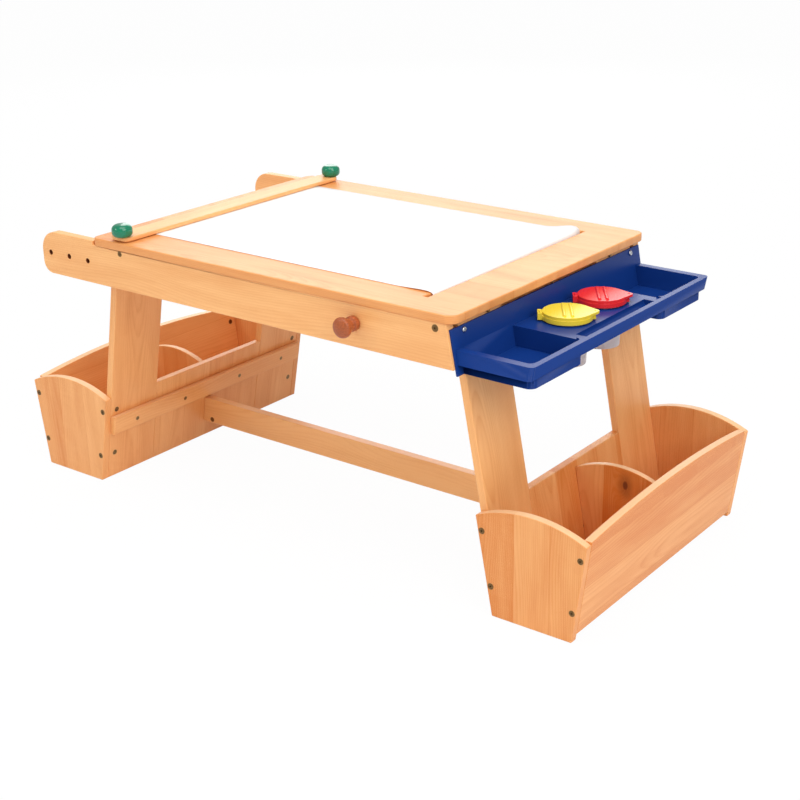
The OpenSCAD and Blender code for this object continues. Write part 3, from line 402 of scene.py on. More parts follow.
def make_finishes():
    """All of the table's finishes, by the names of the record's slots."""
    c = colours()
    return {
        "pine": pine_finish(),
        # turned beech, stained: short dark flecks along the grain, satin gloss
        "turned_wood": simple_finish("stained_turned_beech", c.turned, 0.34, 420.0, 0.22,
                                     0.00006, (1.0, 0.12, 1.0), IOR=1.5,
                                     **{"Specular IOR Level": 0.35}),
        # gloss enamel on a turned knob: even colour, sharp reflections
        "green_lacquer": simple_finish("green_gloss_enamel", c.green, 0.12, 55.0, 0.10,
                                       IOR=1.52, **{"Specular IOR Level": 0.5}),
        # browned zinc: uneven sheen, dark olive brown
        "dark_zinc": simple_finish("browned_zinc", c.zinc, 0.36, 260.0, 0.25,
                                   Metallic=1.0),
        # nickel plated screws
        "bright_steel": simple_finish("nickel_plated_steel", c.steel, 0.24, 300.0, 0.08,
                                      Metallic=1.0),
        # injection moulded ABS: fine spark texture, satin gloss
        "blue_plastic": simple_finish("moulded_blue_abs", c.blue, 0.30, 1600.0, 0.05,
                                      0.00004, **{"Specular IOR Level": 0.16}),
        # thin frosted polypropylene
        "clear_plastic": simple_finish("frosted_polypropylene", c.cup, 0.42, 500.0, 0.03,
                                       IOR=1.49, **{"Transmission Weight": 0.62}),
        # soft polyethylene, glossy from a polished mould
        "yellow_plastic": simple_finish("moulded_yellow_polyethylene", c.yellow, 0.27, 900.0,
                                        0.03, IOR=1.51),
        "red_plastic": simple_finish("moulded_red_polyethylene", c.red, 0.27, 900.0,
                                     0.04, IOR=1.51),
        # uncoated drawing paper: matt, with a faint fibre relief
        "paper": simple_finish("drawing_paper", c.paper, 0.85, 1100.0, 0.012, 0.00003,
                               IOR=1.45),
        # wound grey-brown board with fibres along the winding
        "cardboard": simple_finish("wound_cardboard", c.card, 0.8, 700.0, 0.12, 0.00008,
                                   (1.0, 0.2, 1.0)),
    }


FINISHES = {}


def finish(slot):
    """The slot's material; all of them are made the first time one is asked for."""
    if slot not in FINISHES:
        FINISHES.update(make_finishes())
    return FINISHES[slot]


# ---------- mesh helpers ----------

def new_piece(name, bm, slot, body="root", replaces=(), smooth=34.0):
    """Make the bmesh a named piece with its finish, riding on its body."""
    mesh = bpy.data.meshes.new(name)
    bm.to_mesh(mesh)
    bm.free()
    mesh.materials.append(finish(slot))
    mesh.shade_smooth()
    mesh.set_sharp_from_angle(angle=math.radians(smooth))
    piece = bpy.data.objects.new(name, mesh)
    bpy.context.scene.collection.objects.link(piece)
    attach(piece, body)
    if replaces:
        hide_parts(*replaces)
    return piece


def even_normals(piece):
    """Let the large flat faces rule the shading, so that only the eased edges curve."""
    weights = piece.modifiers.new("flat_faces", "WEIGHTED_NORMAL")
    weights.keep_sharp = True
    weights.weight = 100


def body_under(node):
    """Name of the body that a node rides on."""
    return body_of(frame["nodes"][node])[0]


def merged_copy(node, flat_faces=True):
    """A bmesh of a node's shape, its loose triangles merged into flat faces."""
    bm = bmesh.new()
    bm.from_mesh(frame["nodes"][node].data)
    bmesh.ops.remove_doubles(bm, verts=bm.verts, dist=1e-6)
    if flat_faces:
        bmesh.ops.dissolve_limit(bm, angle_limit=math.radians(0.6), verts=bm.verts,
                                 edges=bm.edges)
    return bm


def sharp_runs(bm, angle=math.radians(38)):
    """Connected runs of sharp edges, each with the size of its box."""
    sharp = {e for e in bm.edges if e.is_manifold and e.calc_face_angle(0.0) > angle}
    runs = []
    while sharp:
        stack = [sharp.pop()]
        run = []
        while stack:
            edge = stack.pop()
            run.append(edge)
            for vert in edge.verts:
                for other in vert.link_edges:
                    if other in sharp:
                        sharp.remove(other)
                        stack.append(other)
        points = [v.co for e in run for v in e.verts]
        reach = max(max(p[i] for p in points) - min(p[i] for p in points) for i in range(3))
        runs.append((run, reach))
    return runs


def ease_edges(bm, radius, hole_radius=0.0, segments=3, hole_reach=26 * MM):
    """Round the outline's edges, and chamfer the rims of small holes."""
    outline = [e for run, reach in sharp_runs(bm) if reach >= hole_reach for e in run]
    bmesh.ops.bevel(bm, geom=outline, offset=radius, offset_type="OFFSET", segments=segments,
                    profile=0.5, affect="EDGES", clamp_overlap=True, material=-1)
    if hole_radius:
        for run in [run for run, reach in sharp_runs(bm) if reach < hole_reach]:
            rim = [e for e in run if e.is_valid]
            bmesh.ops.bevel(bm, geom=rim, offset=hole_radius, offset_type="OFFSET", segments=1,
                            profile=0.5, affect="EDGES", clamp_overlap=True, material=-1)


def set_point_vectors(mesh, name, values):
    """Write a vector for each vertex under the attribute's name."""
    attribute = mesh.attributes.new(name, "FLOAT_VECTOR", "POINT")
    attribute.data.foreach_set("vector", [v for value in values for v in value])


NO_KNOT = (9.0, 9.0, 9.0)    # metres away, so that it shows on no board
ONE_STAVE = 1.0              # metres wide: a board that isn't glued up is one wide stave


def give_grain(piece, along, across, stave, seed, tint=0.0, knot=NO_KNOT, joint=0.0):
    """Write the board's grain frame: its directions, stave width, number and knot.

    The joints between staves lie at joint from the board's middle.  The seed moves the
    pattern along the grain and picks the staves' tones; tint makes the board darker.
    """
    along = Vector(along).normalized()
    across = Vector(across).normalized()
    deep = along.cross(across)
    turn = Matrix((along, across, deep))
    points = [v.co for v in piece.data.vertices]
    middle = sum((Vector(c) for c in piece.bound_box), Vector()) / 8
    aside = ONE_STAVE / 2 if stave == ONE_STAVE else -joint
    shift = Vector((seed % 37 * 1.37, aside, 0.0))
    set_point_vectors(piece.data, "grain", [turn @ (p - middle) + shift for p in points])
    set_point_vectors(piece.data, "board", [(stave, seed * 3.1, tint)] * len(points))
    set_point_vectors(piece.data, "knot", [turn @ (p - Vector(knot)) for p in points])


def lathe(profile, steps=64, close=True):
    """Spin a profile of (radius, height) points about the Z axis."""
    bm = bmesh.new()
    verts = [bm.verts.new((r, 0.0, z)) for r, z in profile]
    edges = [bm.edges.new(pair) for pair in zip(verts, verts[1:])]
    if close:
        edges.append(bm.edges.new((verts[-1], verts[0])))
    bmesh.ops.spin(bm, geom=verts + edges, cent=(0, 0, 0), axis=(0, 0, 1),
                   angle=2 * math.pi, steps=steps, use_merge=True)
    bmesh.ops.remove_doubles(bm, verts=bm.verts, dist=1e-7)
    bmesh.ops.dissolve_degenerate(bm, edges=bm.edges, dist=1e-7)
    bmesh.ops.recalc_face_normals(bm, faces=bm.faces)
    return bm


def arc(centre, radius, start, end, steps):
    """Points of an arc in the profile plane, angles in degrees."""
    span = [math.radians(start + (end - start) * i / steps) for i in range(steps + 1)]
    return [(centre[0] + radius * math.cos(a), centre[1] + radius * math.sin(a)) for a in span]


def move(bm, matrix):
    """Move or turn the whole mesh."""
    bmesh.ops.transform(bm, matrix=matrix, verts=bm.verts)


def on_rod_axis(bm, start):
    """Turn a lathed part so that its axis is the rod's, from start along +Y."""
    move(bm, Matrix.Translation((ROLL_X, start, ROLL_Z)) @ Matrix.Rotation(
        math.radians(-90), 4, "X"))


def loose_parts(bm):
    """The vertices of each separate solid in the mesh."""
    left, parts = set(bm.verts), []
    while left:
        stack, part = [left.pop()], []
        while stack:
            vert = stack.pop()
            part.append(vert)
            for edge in vert.link_edges:
                other = edge.other_vert(vert)
                if other in left:
                    left.remove(other)
                    stack.append(other)
        parts.append(part)
    return parts


def join(bm, part, matrix):
    """Add a part to the mesh at its place, and free it."""
    move(part, matrix)
    mesh = bpy.data.meshes.new("part")
    part.to_mesh(mesh)
    part.free()
    bm.from_mesh(mesh)
    bpy.data.meshes.remove(mesh)


# ---------- the stage ----------

FLOOR_DROP = 0.5 * MM        # of the floor below the feet
# name, place, size, watts: a soft overhead bank, a bank behind for the sheen on the top,
# a key light at the front left and a soft bank at the right
LIGHTS = (("overhead", (0.4, -0.6, 3.2), 2.2, 45.0),
          ("behind", (-2.7, 3.7, 2.2), 3.0, 68.0),
          ("front_left", (-1.9, -2.7, 2.2), 1.0, 17.0),
          ("right", (2.7, -1.1, 2.3), 2.0, 47.0))
LIGHTS_AIM = Vector((0.0, 0.0, 0.3))
WHITE = (1, 1, 1, 1)


class TABLE_OT_stage(bpy.types.Operator):
    """Set the camera, the studio floor and the soft lights"""

    bl_idname = "activity_table.stage"
    bl_label = "Stage"

    def execute(self, context):
        scene = context.scene
        yaw, pitch, roll = CAMERA_YAW, CAMERA_PITCH, CAMERA_ROLL
        ahead = Vector((-math.sin(yaw) * math.cos(pitch), math.cos(yaw) * math.cos(pitch),
                        -math.sin(pitch)))
        right = Vector((math.cos(yaw), math.sin(yaw), 0.0))
        up = right.cross(ahead)
        turned_right = math.cos(roll) * right + math.sin(roll) * up
        turned_up = -math.sin(roll) * right + math.cos(roll) * up
        lens = bpy.data.cameras.new("camera")
        lens.sensor_width = 36.0
        lens.lens = CAMERA_LENS
        lens.shift_x, lens.shift_y = CAMERA_SHIFT
        camera = bpy.data.objects.new("camera", lens)
        turn = Matrix((turned_right, turned_up, -ahead)).transposed().to_4x4()
        camera.matrix_world = Matrix.Translation(CAMERA_PLACE) @ turn
        scene.collection.objects.link(camera)
        scene.camera = camera
        scene.view_settings.view_transform = "Standard"
        self.floor(scene)
        self.lights(scene)
        return {"FINISHED"}

    def floor(self, scene):
        """A wide pale floor: the camera sees it almost white, with a trace of shadow."""
        bm = bmesh.new()
        bmesh.ops.create_grid(bm, x_segments=1, y_segments=1, size=30.0)
        move(bm, Matrix.Translation((0.0, 0.0, -FLOOR_DROP)))
        mesh = bpy.data.meshes.new("studio_floor")
        bm.to_mesh(mesh)
        bm.free()
        floor = bpy.data.objects.new("studio_floor", mesh)
        scene.collection.objects.link(floor)
        material, tree, shader = new_material("painted_studio_floor")
        set_inputs(tree, shader, {"Base Color": tuple(colours().floor), "Roughness": 0.9})
        seen = self.seen_factor(tree, 0.97)
        path = add_node(tree, "ShaderNodeLightPath")
        seen = math_node(tree, "MAXIMUM", seen, math_node(
            tree, "MULTIPLY", path.outputs["Is Glossy Ray"], 0.9))
        white = add_node(tree, "ShaderNodeEmission", {"Color": WHITE, "Strength": 1.0})
        mix = add_node(tree, "ShaderNodeMixShader", {0: seen, 1: shader.outputs[0],
                                                     2: white.outputs[0]})
        tree.links.new(mix.outputs[0], tree.nodes["Material Output"].inputs["Surface"])
        mesh.materials.append(material)

    def seen_factor(self, tree, share):
        """Share of plain white for camera and transmission rays."""
        path = add_node(tree, "ShaderNodeLightPath")
        seen = math_node(tree, "MAXIMUM", path.outputs["Is Camera Ray"],
                         path.outputs["Is Transmission Ray"])
        return math_node(tree, "MULTIPLY", seen, share)

    def lights(self, scene):
        """Four soft banks in an even white surround."""
        world = bpy.data.worlds.new("studio")
        scene.world = world
        world.use_nodes = True
        tree = world.node_tree
        soft = tree.nodes["Background"]
        set_inputs(tree, soft, {"Color": WHITE, "Strength": 0.55})
        white = add_node(tree, "ShaderNodeBackground", {"Color": WHITE, "Strength": 1.0})
        mix = add_node(tree, "ShaderNodeMixShader", {0: self.seen_factor(tree, 1.0),
                                                     1: soft.outputs[0], 2: white.outputs[0]})
        tree.links.new(mix.outputs[0], tree.nodes["World Output"].inputs["Surface"])
        for name, place, size, power in LIGHTS:
            lamp = bpy.data.lights.new(name, "AREA")
            lamp.shape = "SQUARE"
            lamp.size = size
            lamp.energy = power
            light = bpy.data.objects.new(name, lamp)
            light.location = place
            aim = LIGHTS_AIM - Vector(place)
            light.rotation_euler = aim.to_track_quat("-Z", "Y").to_euler()
            scene.collection.objects.link(light)


# ---------- boards ----------

# directions of the grain, and across the staves
X, Y, Z = (1.0, 0.0, 0.0), (0.0, 1.0, 0.0), (0.0, 0.0, 1.0)


def leaning(side, lean, outward):
    """Direction up a board that leans; outward is -1 where it leans to the middle."""
    return (side * outward * math.sin(lean), 0.0, math.cos(lean))


EDGE_LIT_FROM, EDGE_LIT_FULL = 0.7, 0.95     # upward part of the normal, where the painted edge light shows
EDGE_LIGHT_SHARE = 0.6
RAIL_EASE = 1.2 * MM
BAR_EASE = 2.2 * MM


def paint_light_on_upper_edges(piece, share):
    """Painted light: the upper edges are painted paler by this share where they look up, as if
    lit from above.
    """
    edge = piece.data.attributes.new("painted_light_mask", "FLOAT", "POINT")
    worn = [(v.normal.z - EDGE_LIT_FROM) / (EDGE_LIT_FULL - EDGE_LIT_FROM) for v in piece.data.vertices]
    edge.data.foreach_set("value", [share * min(1.0, max(0.0, value)) for value in worn])


def dress_board(node, along, across, glued, seed, tint=0.0, knot=NO_KNOT, ease=None,
                joint=0.0, edge_light=EDGE_LIGHT_SHARE):
    """A board with eased edges and its grain, in the place of its node.

    Glued means glued up from staves; joint, seed and tint are as in give_grain.
    """
    s = sizes()
    bm = merged_copy(node)
    ease_edges(bm, ease or s.board_ease, s.hole_ease)
    piece = new_piece("board." + node, bm, "pine", body_under(node), (node,))
    even_normals(piece)
    give_grain(piece, along, across, s.stave if glued else ONE_STAVE, seed, tint, knot,
               joint)
    paint_light_on_upper_edges(piece, edge_light)
    return piece


class TABLE_OT_top(bpy.types.Operator):
    """Dress the table top with its eased edges and glued staves"""

    bl_idname = "activity_table.top"
    bl_label = "Table top"

    def execute(self, context):
        dress_board("table_top", X, Y, True, 3752, 0.2, ease=sizes().top_ease,
                    edge_light=0.0)
        return {"FINISHED"}


# middles of the holes in the rails' extensions, the reach of their walls, and how far
# below the rails' faces a wall begins
RACK_HOLES = [Vector((x * MM, 462 * MM)) for x in (-529.5, -478.5, -427.5)]
HOLE_WALL = 6 * MM
BELOW_FACE = 0.05 * MM


class TABLE_OT_rails(bpy.types.Operator):
    """Dress the two long rails and the aprons between the legs"""

    bl_idname = "activity_table.rails"
    bl_label = "Rails and aprons"

    def execute(self, context):
        for node, seed in (("front_rail", 67), ("back_rail", 23)):
            self.darken_holes(dress_board(node, X, Z, False, seed, -0.04, ease=RAIL_EASE,
                                          edge_light=0.0))
        dress_board("left_apron", Y, Z, False, 4, 0.1)
        dress_board("right_apron", Y, Z, False, 5, 0.1)
        return {"FINISHED"}

    def darken_holes(self, rail):
        """The drilled walls get the knot's dark colour: painted shade inside the holes, with
        the darker bare end grain.
        """
        depths = [abs(v.co.y) for v in rail.data.vertices]
        low, high = min(depths) + BELOW_FACE, max(depths) - BELOW_FACE
        for vert, depth, value in zip(rail.data.vertices, depths,
                                      rail.data.attributes["knot"].data):
            if low < depth < high and any(
                    (Vector((vert.co.x, vert.co.z)) - hole).length < HOLE_WALL
                    for hole in RACK_HOLES):
                value.vector = (0.0, 0.0, 0.0)


class TABLE_OT_legs(bpy.types.Operator):
    """Dress the four leaning legs and the stretcher"""

    bl_idname = "activity_table.legs"
    bl_label = "Legs and stretcher"

    def execute(self, context):
        for side, node, seed in ((-1, "left_leg_front", 253), (-1, "left_leg_back", 195),
                                 (1, "right_leg_front", 21), (1, "right_leg_back", 491)):
            dress_board(node, leaning(side, LEG_LEAN, -1), Y, False, seed, 0.02)
        # partly painted light: the stretcher's negative tint makes it paler, standing for light
        # that reaches it under the top
        dress_board("stretcher", X, Z, False, 284, -0.14)
        return {"FINISHED"}


class TABLE_OT_bins(bpy.types.Operator):
    """Dress the boards of both storage bins"""

    bl_idname = "activity_table.bins"
    bl_label = "Storage bins"

    def execute(self, context):
        # seeds: inner board, outer panel, near end, far end, divider, floor, cleat
        for side, name, seeds in ((-1, "left", (323, 372, 2112, 2980, 611, 23, 24)),
                                  (1, "right", (438, 862, 1718, 1226, 673, 29, 30))):
            leg_up = leaning(side, LEG_LEAN, -1)
            panel_up = leaning(side, PANEL_LEAN, 1)
            # The tints are partly each board's own tone and partly painted light and shade: the
            # right bin's boards and the near end panels are darker, the left inner board paler,
            # as light falls on them.
            dress_board(name + "_inner_board", leg_up, Y, True, seeds[0], 0.05 + side * 0.09,
                        edge_light=0.0)
            dress_board(name + "_outer_panel", Y, panel_up, True, seeds[1], 0.06 + side * 0.2,
                        joint=60 * MM)
            dress_board(name + "_end_panel_front", Z, X, True, seeds[2], 0.18 + side * 0.1,
                        joint=-30 * MM)
            dress_board(name + "_end_panel_back", Z, X, True, seeds[3], 0.08)
            knot = (0.553, 0.0, 0.152) if side > 0 else NO_KNOT
            dress_board(name + "_divider", Z, X, True, seeds[4], 0.22, knot,
                        joint=-29 * MM)
            dress_board(name + "_bin_floor", Y, X, True, seeds[5], 0.1, edge_light=0.0)
            dress_board(name + "_cleat", Y, leg_up, False, seeds[6], 0.12)
        return {"FINISHED"}


# ---------- paper clamp ----------

KNOB_HEIGHT = 23 * MM
KNOB_FOOT_CURVE = 8.6 * MM   # radii of the knob's side
KNOB_FACE_CURVE = 10.4 * MM
STUD_R = 3 * MM


class TABLE_OT_clamp(bpy.types.Operator):
    """Make the clamp bar, its enamelled knobs and their studs"""

    bl_idname = "activity_table.clamp"
    bl_label = "Paper clamp"

    def execute(self, context):
        dress_board("clamp_bar", Y, X, False, 40, 0.1, ease=BAR_EASE, edge_light=0.0)
        for name in ("front", "back"):
            self.knob("clamp_knob_" + name)
        return {"FINISHED"}

    def knob(self, node):
        """A turned knob on its stud: flat foot, bulging side and slightly domed face."""
        low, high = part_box(node)
        radius = (high.x - low.x) / 2
        foot = high.z - KNOB_HEIGHT
        profile = [(0.0, foot), (radius - 8.5 * MM, foot)]
        profile += arc((radius - KNOB_FOOT_CURVE, foot + KNOB_FOOT_CURVE), KNOB_FOOT_CURVE,
                       -88, -8, 9)
        profile += [(radius, foot + KNOB_HEIGHT / 2)]
        profile += arc((radius - KNOB_FACE_CURVE, foot + 12.6 * MM), KNOB_FACE_CURVE, 4, 74, 9)
        profile += [(4.5 * MM, high.z - 0.15 * MM), (0.0, high.z)]
        bevel = 0.5 * MM
        stud = [(0.0, low.z), (STUD_R - bevel, low.z), (STUD_R, low.z + bevel),
                (STUD_R, foot + 2 * MM), (0.0, foot + 2 * MM)]
        middle = (low + high) / 2
        for name, slot, line, steps, replaced in (
                ("knob.", "green_lacquer", profile, 64, (node,)),
                ("stud.", "bright_steel", stud, 32, ())):
            bm = lathe(line, steps, close=False)
            move(bm, Matrix.Translation((middle.x, middle.y, 0.0)))
            new_piece(name + node, bm, slot, body_under(node), replaced)


# ---------- paper ----------

SHEET_LIFT = 0.3 * MM        # the frame's sheet lies this far above the top
SHEET_T = 0.8 * MM           # its thickness in the frame
PAPER_T = 0.3 * MM           # and here
SHEET_STEPS = 16


def bezier(points, t):
    """Point of the curve with these four control points, t from 0 to 1."""
    a, b, c, d = (Vector(p) for p in points)
    return (1 - t) ** 3 * a + 3 * t * (1 - t) ** 2 * b + 3 * t * t * (1 - t) * c + t ** 3 * d


class TABLE_OT_paper(bpy.types.Operator):
    """Wind the paper roll and lay the sheet over the table into its slot"""

    bl_idname = "activity_table.paper"
    bl_label = "Paper"

    def execute(self, context):
        self.roll()
        self.core()
        self.sheet()
        return {"FINISHED"}

    def roll(self):
        """Windings show as small steps at the ends, coarser than real paper is thick."""
        width = ROLL_HIGH.y - ROLL_LOW.y
        count = sizes().windings
        step = (ROLL_R - CORE_R) / count
        near, far = [], []
        for i in range(count):
            inset = (0.25 + 0.35 * math.sin(i * 2.4)) * MM
            radius = CORE_R + i * step
            near += [(radius, inset + 0.35 * MM), (radius + step * 0.25, inset),
                     (radius + step * 0.8, inset)]
            far += [(radius, width - inset - 0.35 * MM), (radius + step * 0.25, width - inset),
                    (radius + step * 0.8, width - inset)]
        near.append((ROLL_R, 0.9 * MM))
        far.append((ROLL_R, width - 0.9 * MM))
        bm = lathe(near + far[::-1], 96)
        on_rod_axis(bm, ROLL_LOW.y)
        new_piece("wound_paper", bm, "paper", body_under("paper_roll"), ("paper_roll",))

    def core(self):
        """The cardboard tube that the paper is wound on."""
        width = CORE_HIGH.y - CORE_LOW.y
        bore = ROD_R + PLAY
        bevel = 0.4 * MM
        bm = lathe([(bore + bevel, 0), (CORE_R - bevel, 0), (CORE_R, bevel),
                    (CORE_R, width - bevel), (CORE_R - bevel, width), (bore + bevel, width),
                    (bore, width - bevel), (bore, bevel)], 64)
        on_rod_axis(bm, CORE_LOW.y)
        new_piece("cardboard_core", bm, "cardboard", body_under("roll_core"), ("roll_core",))

    def sheet_line(self, arch):
        """The sheet's middle line: flat, up in a low fold, through the slot, to the roll."""
        z = TABLE_Z + SHEET_LIFT + SHEET_T / 2
        start = SHEET_LOW.x
        leave = math.radians(-62)              # where the sheet leaves the roll
        around = ROLL_R + 0.5 * MM + SHEET_T / 2
        on_roll = (ROLL_X + around * math.cos(leave), ROLL_Z + around * math.sin(leave))
        fold = [(SLOT_X - 78 * MM, z), (SLOT_X - 42 * MM, z), (SLOT_X - 1 * MM, z + 3 * arch),
                (SLOT_X, TABLE_Z - 2 * MM)]
        drop = [fold[-1], (SLOT_X + 0.6 * MM, TOP_UNDER - 22 * MM),
                (on_roll[0] - 52 * MM * math.sin(leave),
                 on_roll[1] + 52 * MM * math.cos(leave)),
                on_roll]
        flat = [Vector((start + (fold[0][0] - start) * i / 24, z)) for i in range(24)]
        return (flat + [bezier(fold, i / 26) for i in range(27)]
                + [bezier(drop, i / 24) for i in range(1, 25)])

    def sheet(self):
        """The fold before the slot is low at the near edge and higher at the far edge."""
        width = SHEET_HIGH.y - SHEET_LOW.y
        bm = bmesh.new()
        rows = []
        for i in range(SHEET_STEPS + 1):
            line = self.sheet_line((2.0 + 5.3 * i / SHEET_STEPS) * MM)
            y = SHEET_LOW.y + width * i / SHEET_STEPS
            rows.append([bm.verts.new((p.x, y, p.y)) for p in line])
        for one, other in zip(rows, rows[1:]):
            for i in range(len(one) - 1):
                bm.faces.new((one[i], one[i + 1], other[i + 1], other[i]))
        bmesh.ops.recalc_face_normals(bm, faces=bm.faces)
        piece = new_piece("drawing_sheet", bm, "paper", "root", ("paper_sheet",))
        wall = piece.modifiers.new("thickness", "SOLIDIFY")
        wall.thickness = PAPER_T
        wall.offset = 0.0


# ---------- rod ----------

class TABLE_OT_rod(bpy.types.Operator):
    """Turn the paper rod and its two stained knobs"""

    bl_idname = "activity_table.rod"
    bl_label = "Rod and knobs"

    def execute(self, context):
        self.rod()
        for name in ("front", "back"):
            self.knob("rod_knob_" + name, -1 if name == "front" else 1)
        return {"FINISHED"}

    def rod(self):
        """The round rod, with bevelled ends."""
        span = ROD_HIGH.y - ROD_LOW.y
        bevel = 1.0 * MM
        bm = lathe([(0, 0), (ROD_R - bevel, 0), (ROD_R, bevel), (ROD_R, span - bevel),
                    (ROD_R - bevel, span), (0, span)], 48, close=False)
        on_rod_axis(bm, ROD_LOW.y)
        piece = new_piece("round_rod", bm, "pine", body_under("paper_rod"), ("paper_rod",))
        give_grain(piece, Y, X, ONE_STAVE, 50)

    def knob(self, node, side):
        """Collar, waist and a round head with a domed face; its bored foot takes the rod."""
        low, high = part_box(node)
        reach = high.y - low.y
        radius = (high.x - low.x) / 2
        bore = ROD_R + PLAY
        deep = 16 * MM                         # of the bore
        bulge = 9.5 * MM                       # half the length of the head
        centre = (radius - bulge, reach - bulge)
        dome = (radius ** 2 + (5 * MM) ** 2) / (10 * MM)
        profile = [(0.0, deep), (bore, deep), (bore, 0.4 * MM), (bore + 0.4 * MM, 0.0)]
        profile += arc((11 * MM, 2 * MM), 2 * MM, -90, 0, 5)
        profile += arc((11 * MM, 9 * MM), 2 * MM, 0, 80, 5)
        profile += arc((12.5 * MM, 13.4 * MM), 2.1 * MM, 240, 180, 4)
        profile += [(10.4 * MM, 19.6 * MM), (10.9 * MM, 21.2 * MM)]
        profile += arc(centre, bulge, -66, 30, 14)
        profile += arc((0.0, reach - dome), dome, 63.5, 90, 9)[:-1] + [(0.0, reach)]
        bm = lathe(profile, 72, close=False)
        foot = high.y if side < 0 else low.y
        turn = Matrix.Rotation(math.radians(90 * -side), 4, "X")
        move(bm, Matrix.Translation(((low.x + high.x) / 2, foot, (low.z + high.z) / 2)) @ turn)
        new_piece("turned." + node, bm, "turned_wood", body_under(node), (node,))


# ---------- tray and cups ----------

SCREW_HEAD_R = 4 * MM        # the screws' heads are wider, the pegs' heads narrower
SHANK_R = 2 * MM
LID_EASE = 0.7 * MM
CUP_EASE = 0.6 * MM


class TABLE_OT_tray(bpy.types.Operator):
    """Dress the moulded tray and make its two screws"""

    bl_idname = "activity_table.tray"
    bl_label = "Tray"

    def execute(self, context):
        bm = merged_copy("tray", flat_faces=False)
        ease_edges(bm, sizes().mould_ease, segments=2, hole_reach=8 * MM)
        even_normals(new_piece("moulded_tray", bm, "blue_plastic", "root", ("tray",)))
        self.screws()
        return {"FINISHED"}

    def screws(self):
        """Two bright screws with crossed recesses, and three pegs over the edge whose dark
        finish is painted shade, the shade seen at the plate's top edge.
        """
        outward = Vector((math.cos(LEG_LEAN), 0.0, math.sin(LEG_LEAN)))
        turn = outward.to_track_quat("Z", "X").to_matrix().to_4x4()
        bright, dark = bmesh.new(), bmesh.new()
        solids = merged_copy("tray_screws")
        for part in loose_parts(solids):
            heights = [v.co.dot(outward) for v in part]
            high = max(heights)
            face = [v.co for v, h in zip(part, heights) if h > high - 0.1 * MM]
            centre = sum(face, Vector()) / len(face)
            radius = max((point - centre).length for point in face)
            reach = high - min(heights)
            place = Matrix.Translation(centre) @ turn
            if radius > SCREW_HEAD_R:
                join(bright, self.pan_screw(radius, reach), place)
            else:
                join(dark, self.peg(radius, reach), place)
        solids.free()
        new_piece("tray_screws.heads", bright, "bright_steel", "root", ("tray_screws",))
        # painted shade: the pegs' dark finish stands for the shade at the plate's top edge
        new_piece("tray_screws.shade_pegs", dark, "dark_zinc", "root")

    def pan_screw(self, radius, reach):
        """A pan head with a crossed recess; its face is at the origin, turned to +Z."""
        round_r = 1.8 * MM
        profile = [(0.0, -reach), (SHANK_R, -reach), (SHANK_R, -3 * MM), (radius, -3 * MM)]
        profile += arc((radius - round_r, -1.9 * MM), round_r, 0, 80, 6)
        bm = lathe(profile, 48, close=False)
        rim = [e for e in bm.edges if e.is_boundary]
        face_z = profile[-1][1]
        wide, long = 0.55 * MM, 2.3 * MM       # half measures of the cross
        quarter = [(wide, wide), (wide, long), (-wide, long)]
        corners = [(x * c - y * s, x * s + y * c)
                   for c, s in ((1, 0), (0, 1), (-1, 0), (0, -1)) for x, y in quarter]
        verts = [bm.verts.new((x, y, face_z)) for x, y in corners]
        cross = [bm.edges.new((a, b)) for a, b in zip(verts, verts[1:] + verts[:1])]
        bmesh.ops.triangle_fill(bm, use_beauty=True, edges=rim + cross)
        sunk = bmesh.ops.extrude_edge_only(bm, edges=cross)["geom"]
        low = [g for g in sunk if isinstance(g, bmesh.types.BMVert)]
        bmesh.ops.translate(bm, verts=low, vec=(0.0, 0.0, -1.3 * MM))
        floor = [g for g in sunk if isinstance(g, bmesh.types.BMEdge)
                 and all(v in low for v in g.verts)]
        bmesh.ops.contextual_create(bm, geom=floor)
        bmesh.ops.recalc_face_normals(bm, faces=bm.faces)
        return bm

    def peg(self, radius, reach):
        """A peg with a thin round head."""
        return lathe([(0.0, -reach), (SHANK_R, -reach), (SHANK_R, -2 * MM),
                      (radius, -2 * MM), (radius, -0.5 * MM), (radius - 0.5 * MM, 0.0),
                      (0.0, 0.0)], 40, close=False)


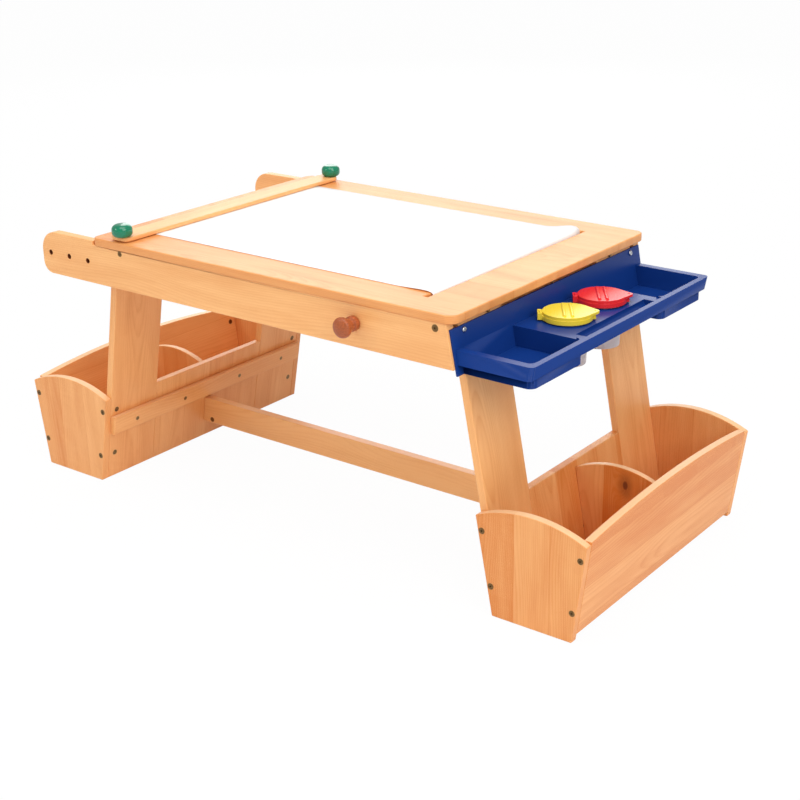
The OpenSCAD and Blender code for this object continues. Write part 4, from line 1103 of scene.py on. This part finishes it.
class TABLE_OT_cups(bpy.types.Operator):
    """Make the two paint cups with their lids and flip caps"""

    bl_idname = "activity_table.cups"
    bl_label = "Paint cups"

    def execute(self, context):
        for tint in ("yellow", "red"):
            self.cup(tint)
            for part in ("lid", "cap"):
                node = tint + "_" + part
                bm = merged_copy(node)
                ease_edges(bm, LID_EASE, segments=2, hole_reach=5 * MM)
                even_normals(new_piece("moulded." + node, bm, tint + "_plastic",
                                       body_under(node), (node,)))
        return {"FINISHED"}

    def cup(self, tint):
        """A thin tapered cup with a round foot and a flat flange."""
        node = tint + "_cup"
        bm = merged_copy(node)
        ease_edges(bm, CUP_EASE, segments=2, hole_reach=0.0)
        new_piece("frosted." + node, bm, "clear_plastic", body_under(node), (node,))


# ---------- fasteners ----------

PLAIN_NODES = {
    "dark_zinc": ("apron_bolts", "apron_screws", "cleat_screws", "left_bin_bolts",
                  "right_bin_bolts", "left_bin_nuts", "right_bin_nuts", "stretcher_bolts",
                  "stretcher_nuts", "clamp_nuts"),
    "pine": ("apron_dowels",),
}


class TABLE_OT_fasteners(bpy.types.Operator):
    """Give the bolts, barrel nuts, screws and dowels their finish"""

    bl_idname = "activity_table.fasteners"
    bl_label = "Fasteners"

    def execute(self, context):
        for slot, nodes in PLAIN_NODES.items():
            for node in nodes:
                mesh = frame["nodes"][node].data
                mesh.materials.clear()
                mesh.materials.append(finish(slot))
        return {"FINISHED"}


# ---------- add-on ----------

STEPS = (TABLE_OT_stage, TABLE_OT_top, TABLE_OT_rails, TABLE_OT_legs, TABLE_OT_bins,
         TABLE_OT_clamp, TABLE_OT_paper, TABLE_OT_rod, TABLE_OT_tray, TABLE_OT_cups,
         TABLE_OT_fasteners)


class TABLE_PT_pieces(bpy.types.Panel):
    """Lists the table's pieces, sizes and colours"""

    bl_idname = "TABLE_PT_pieces"
    bl_label = "Activity Table"
    bl_space_type = "VIEW_3D"
    bl_region_type = "UI"
    bl_category = "Activity Table"

    def draw(self, context):
        for step in STEPS:
            self.layout.operator(step.bl_idname)
        for group in (context.scene.table_sizes, context.scene.table_colours):
            for name in group.__annotations__:
                self.layout.prop(group, name)


CLASSES = (TableSizes, TableColours) + STEPS + (TABLE_PT_pieces,)


def register():
    for cls in CLASSES:
        bpy.utils.register_class(cls)
    bpy.types.Scene.table_sizes = PointerProperty(type=TableSizes)
    bpy.types.Scene.table_colours = PointerProperty(type=TableColours)


def unregister():
    del bpy.types.Scene.table_colours
    del bpy.types.Scene.table_sizes
    for cls in reversed(CLASSES):
        bpy.utils.unregister_class(cls)


def main():
    register()
    for step in STEPS:
        group, name = step.bl_idname.split(".")
        getattr(getattr(bpy.ops, group), name)()


if __name__ == "__main__":
    main()
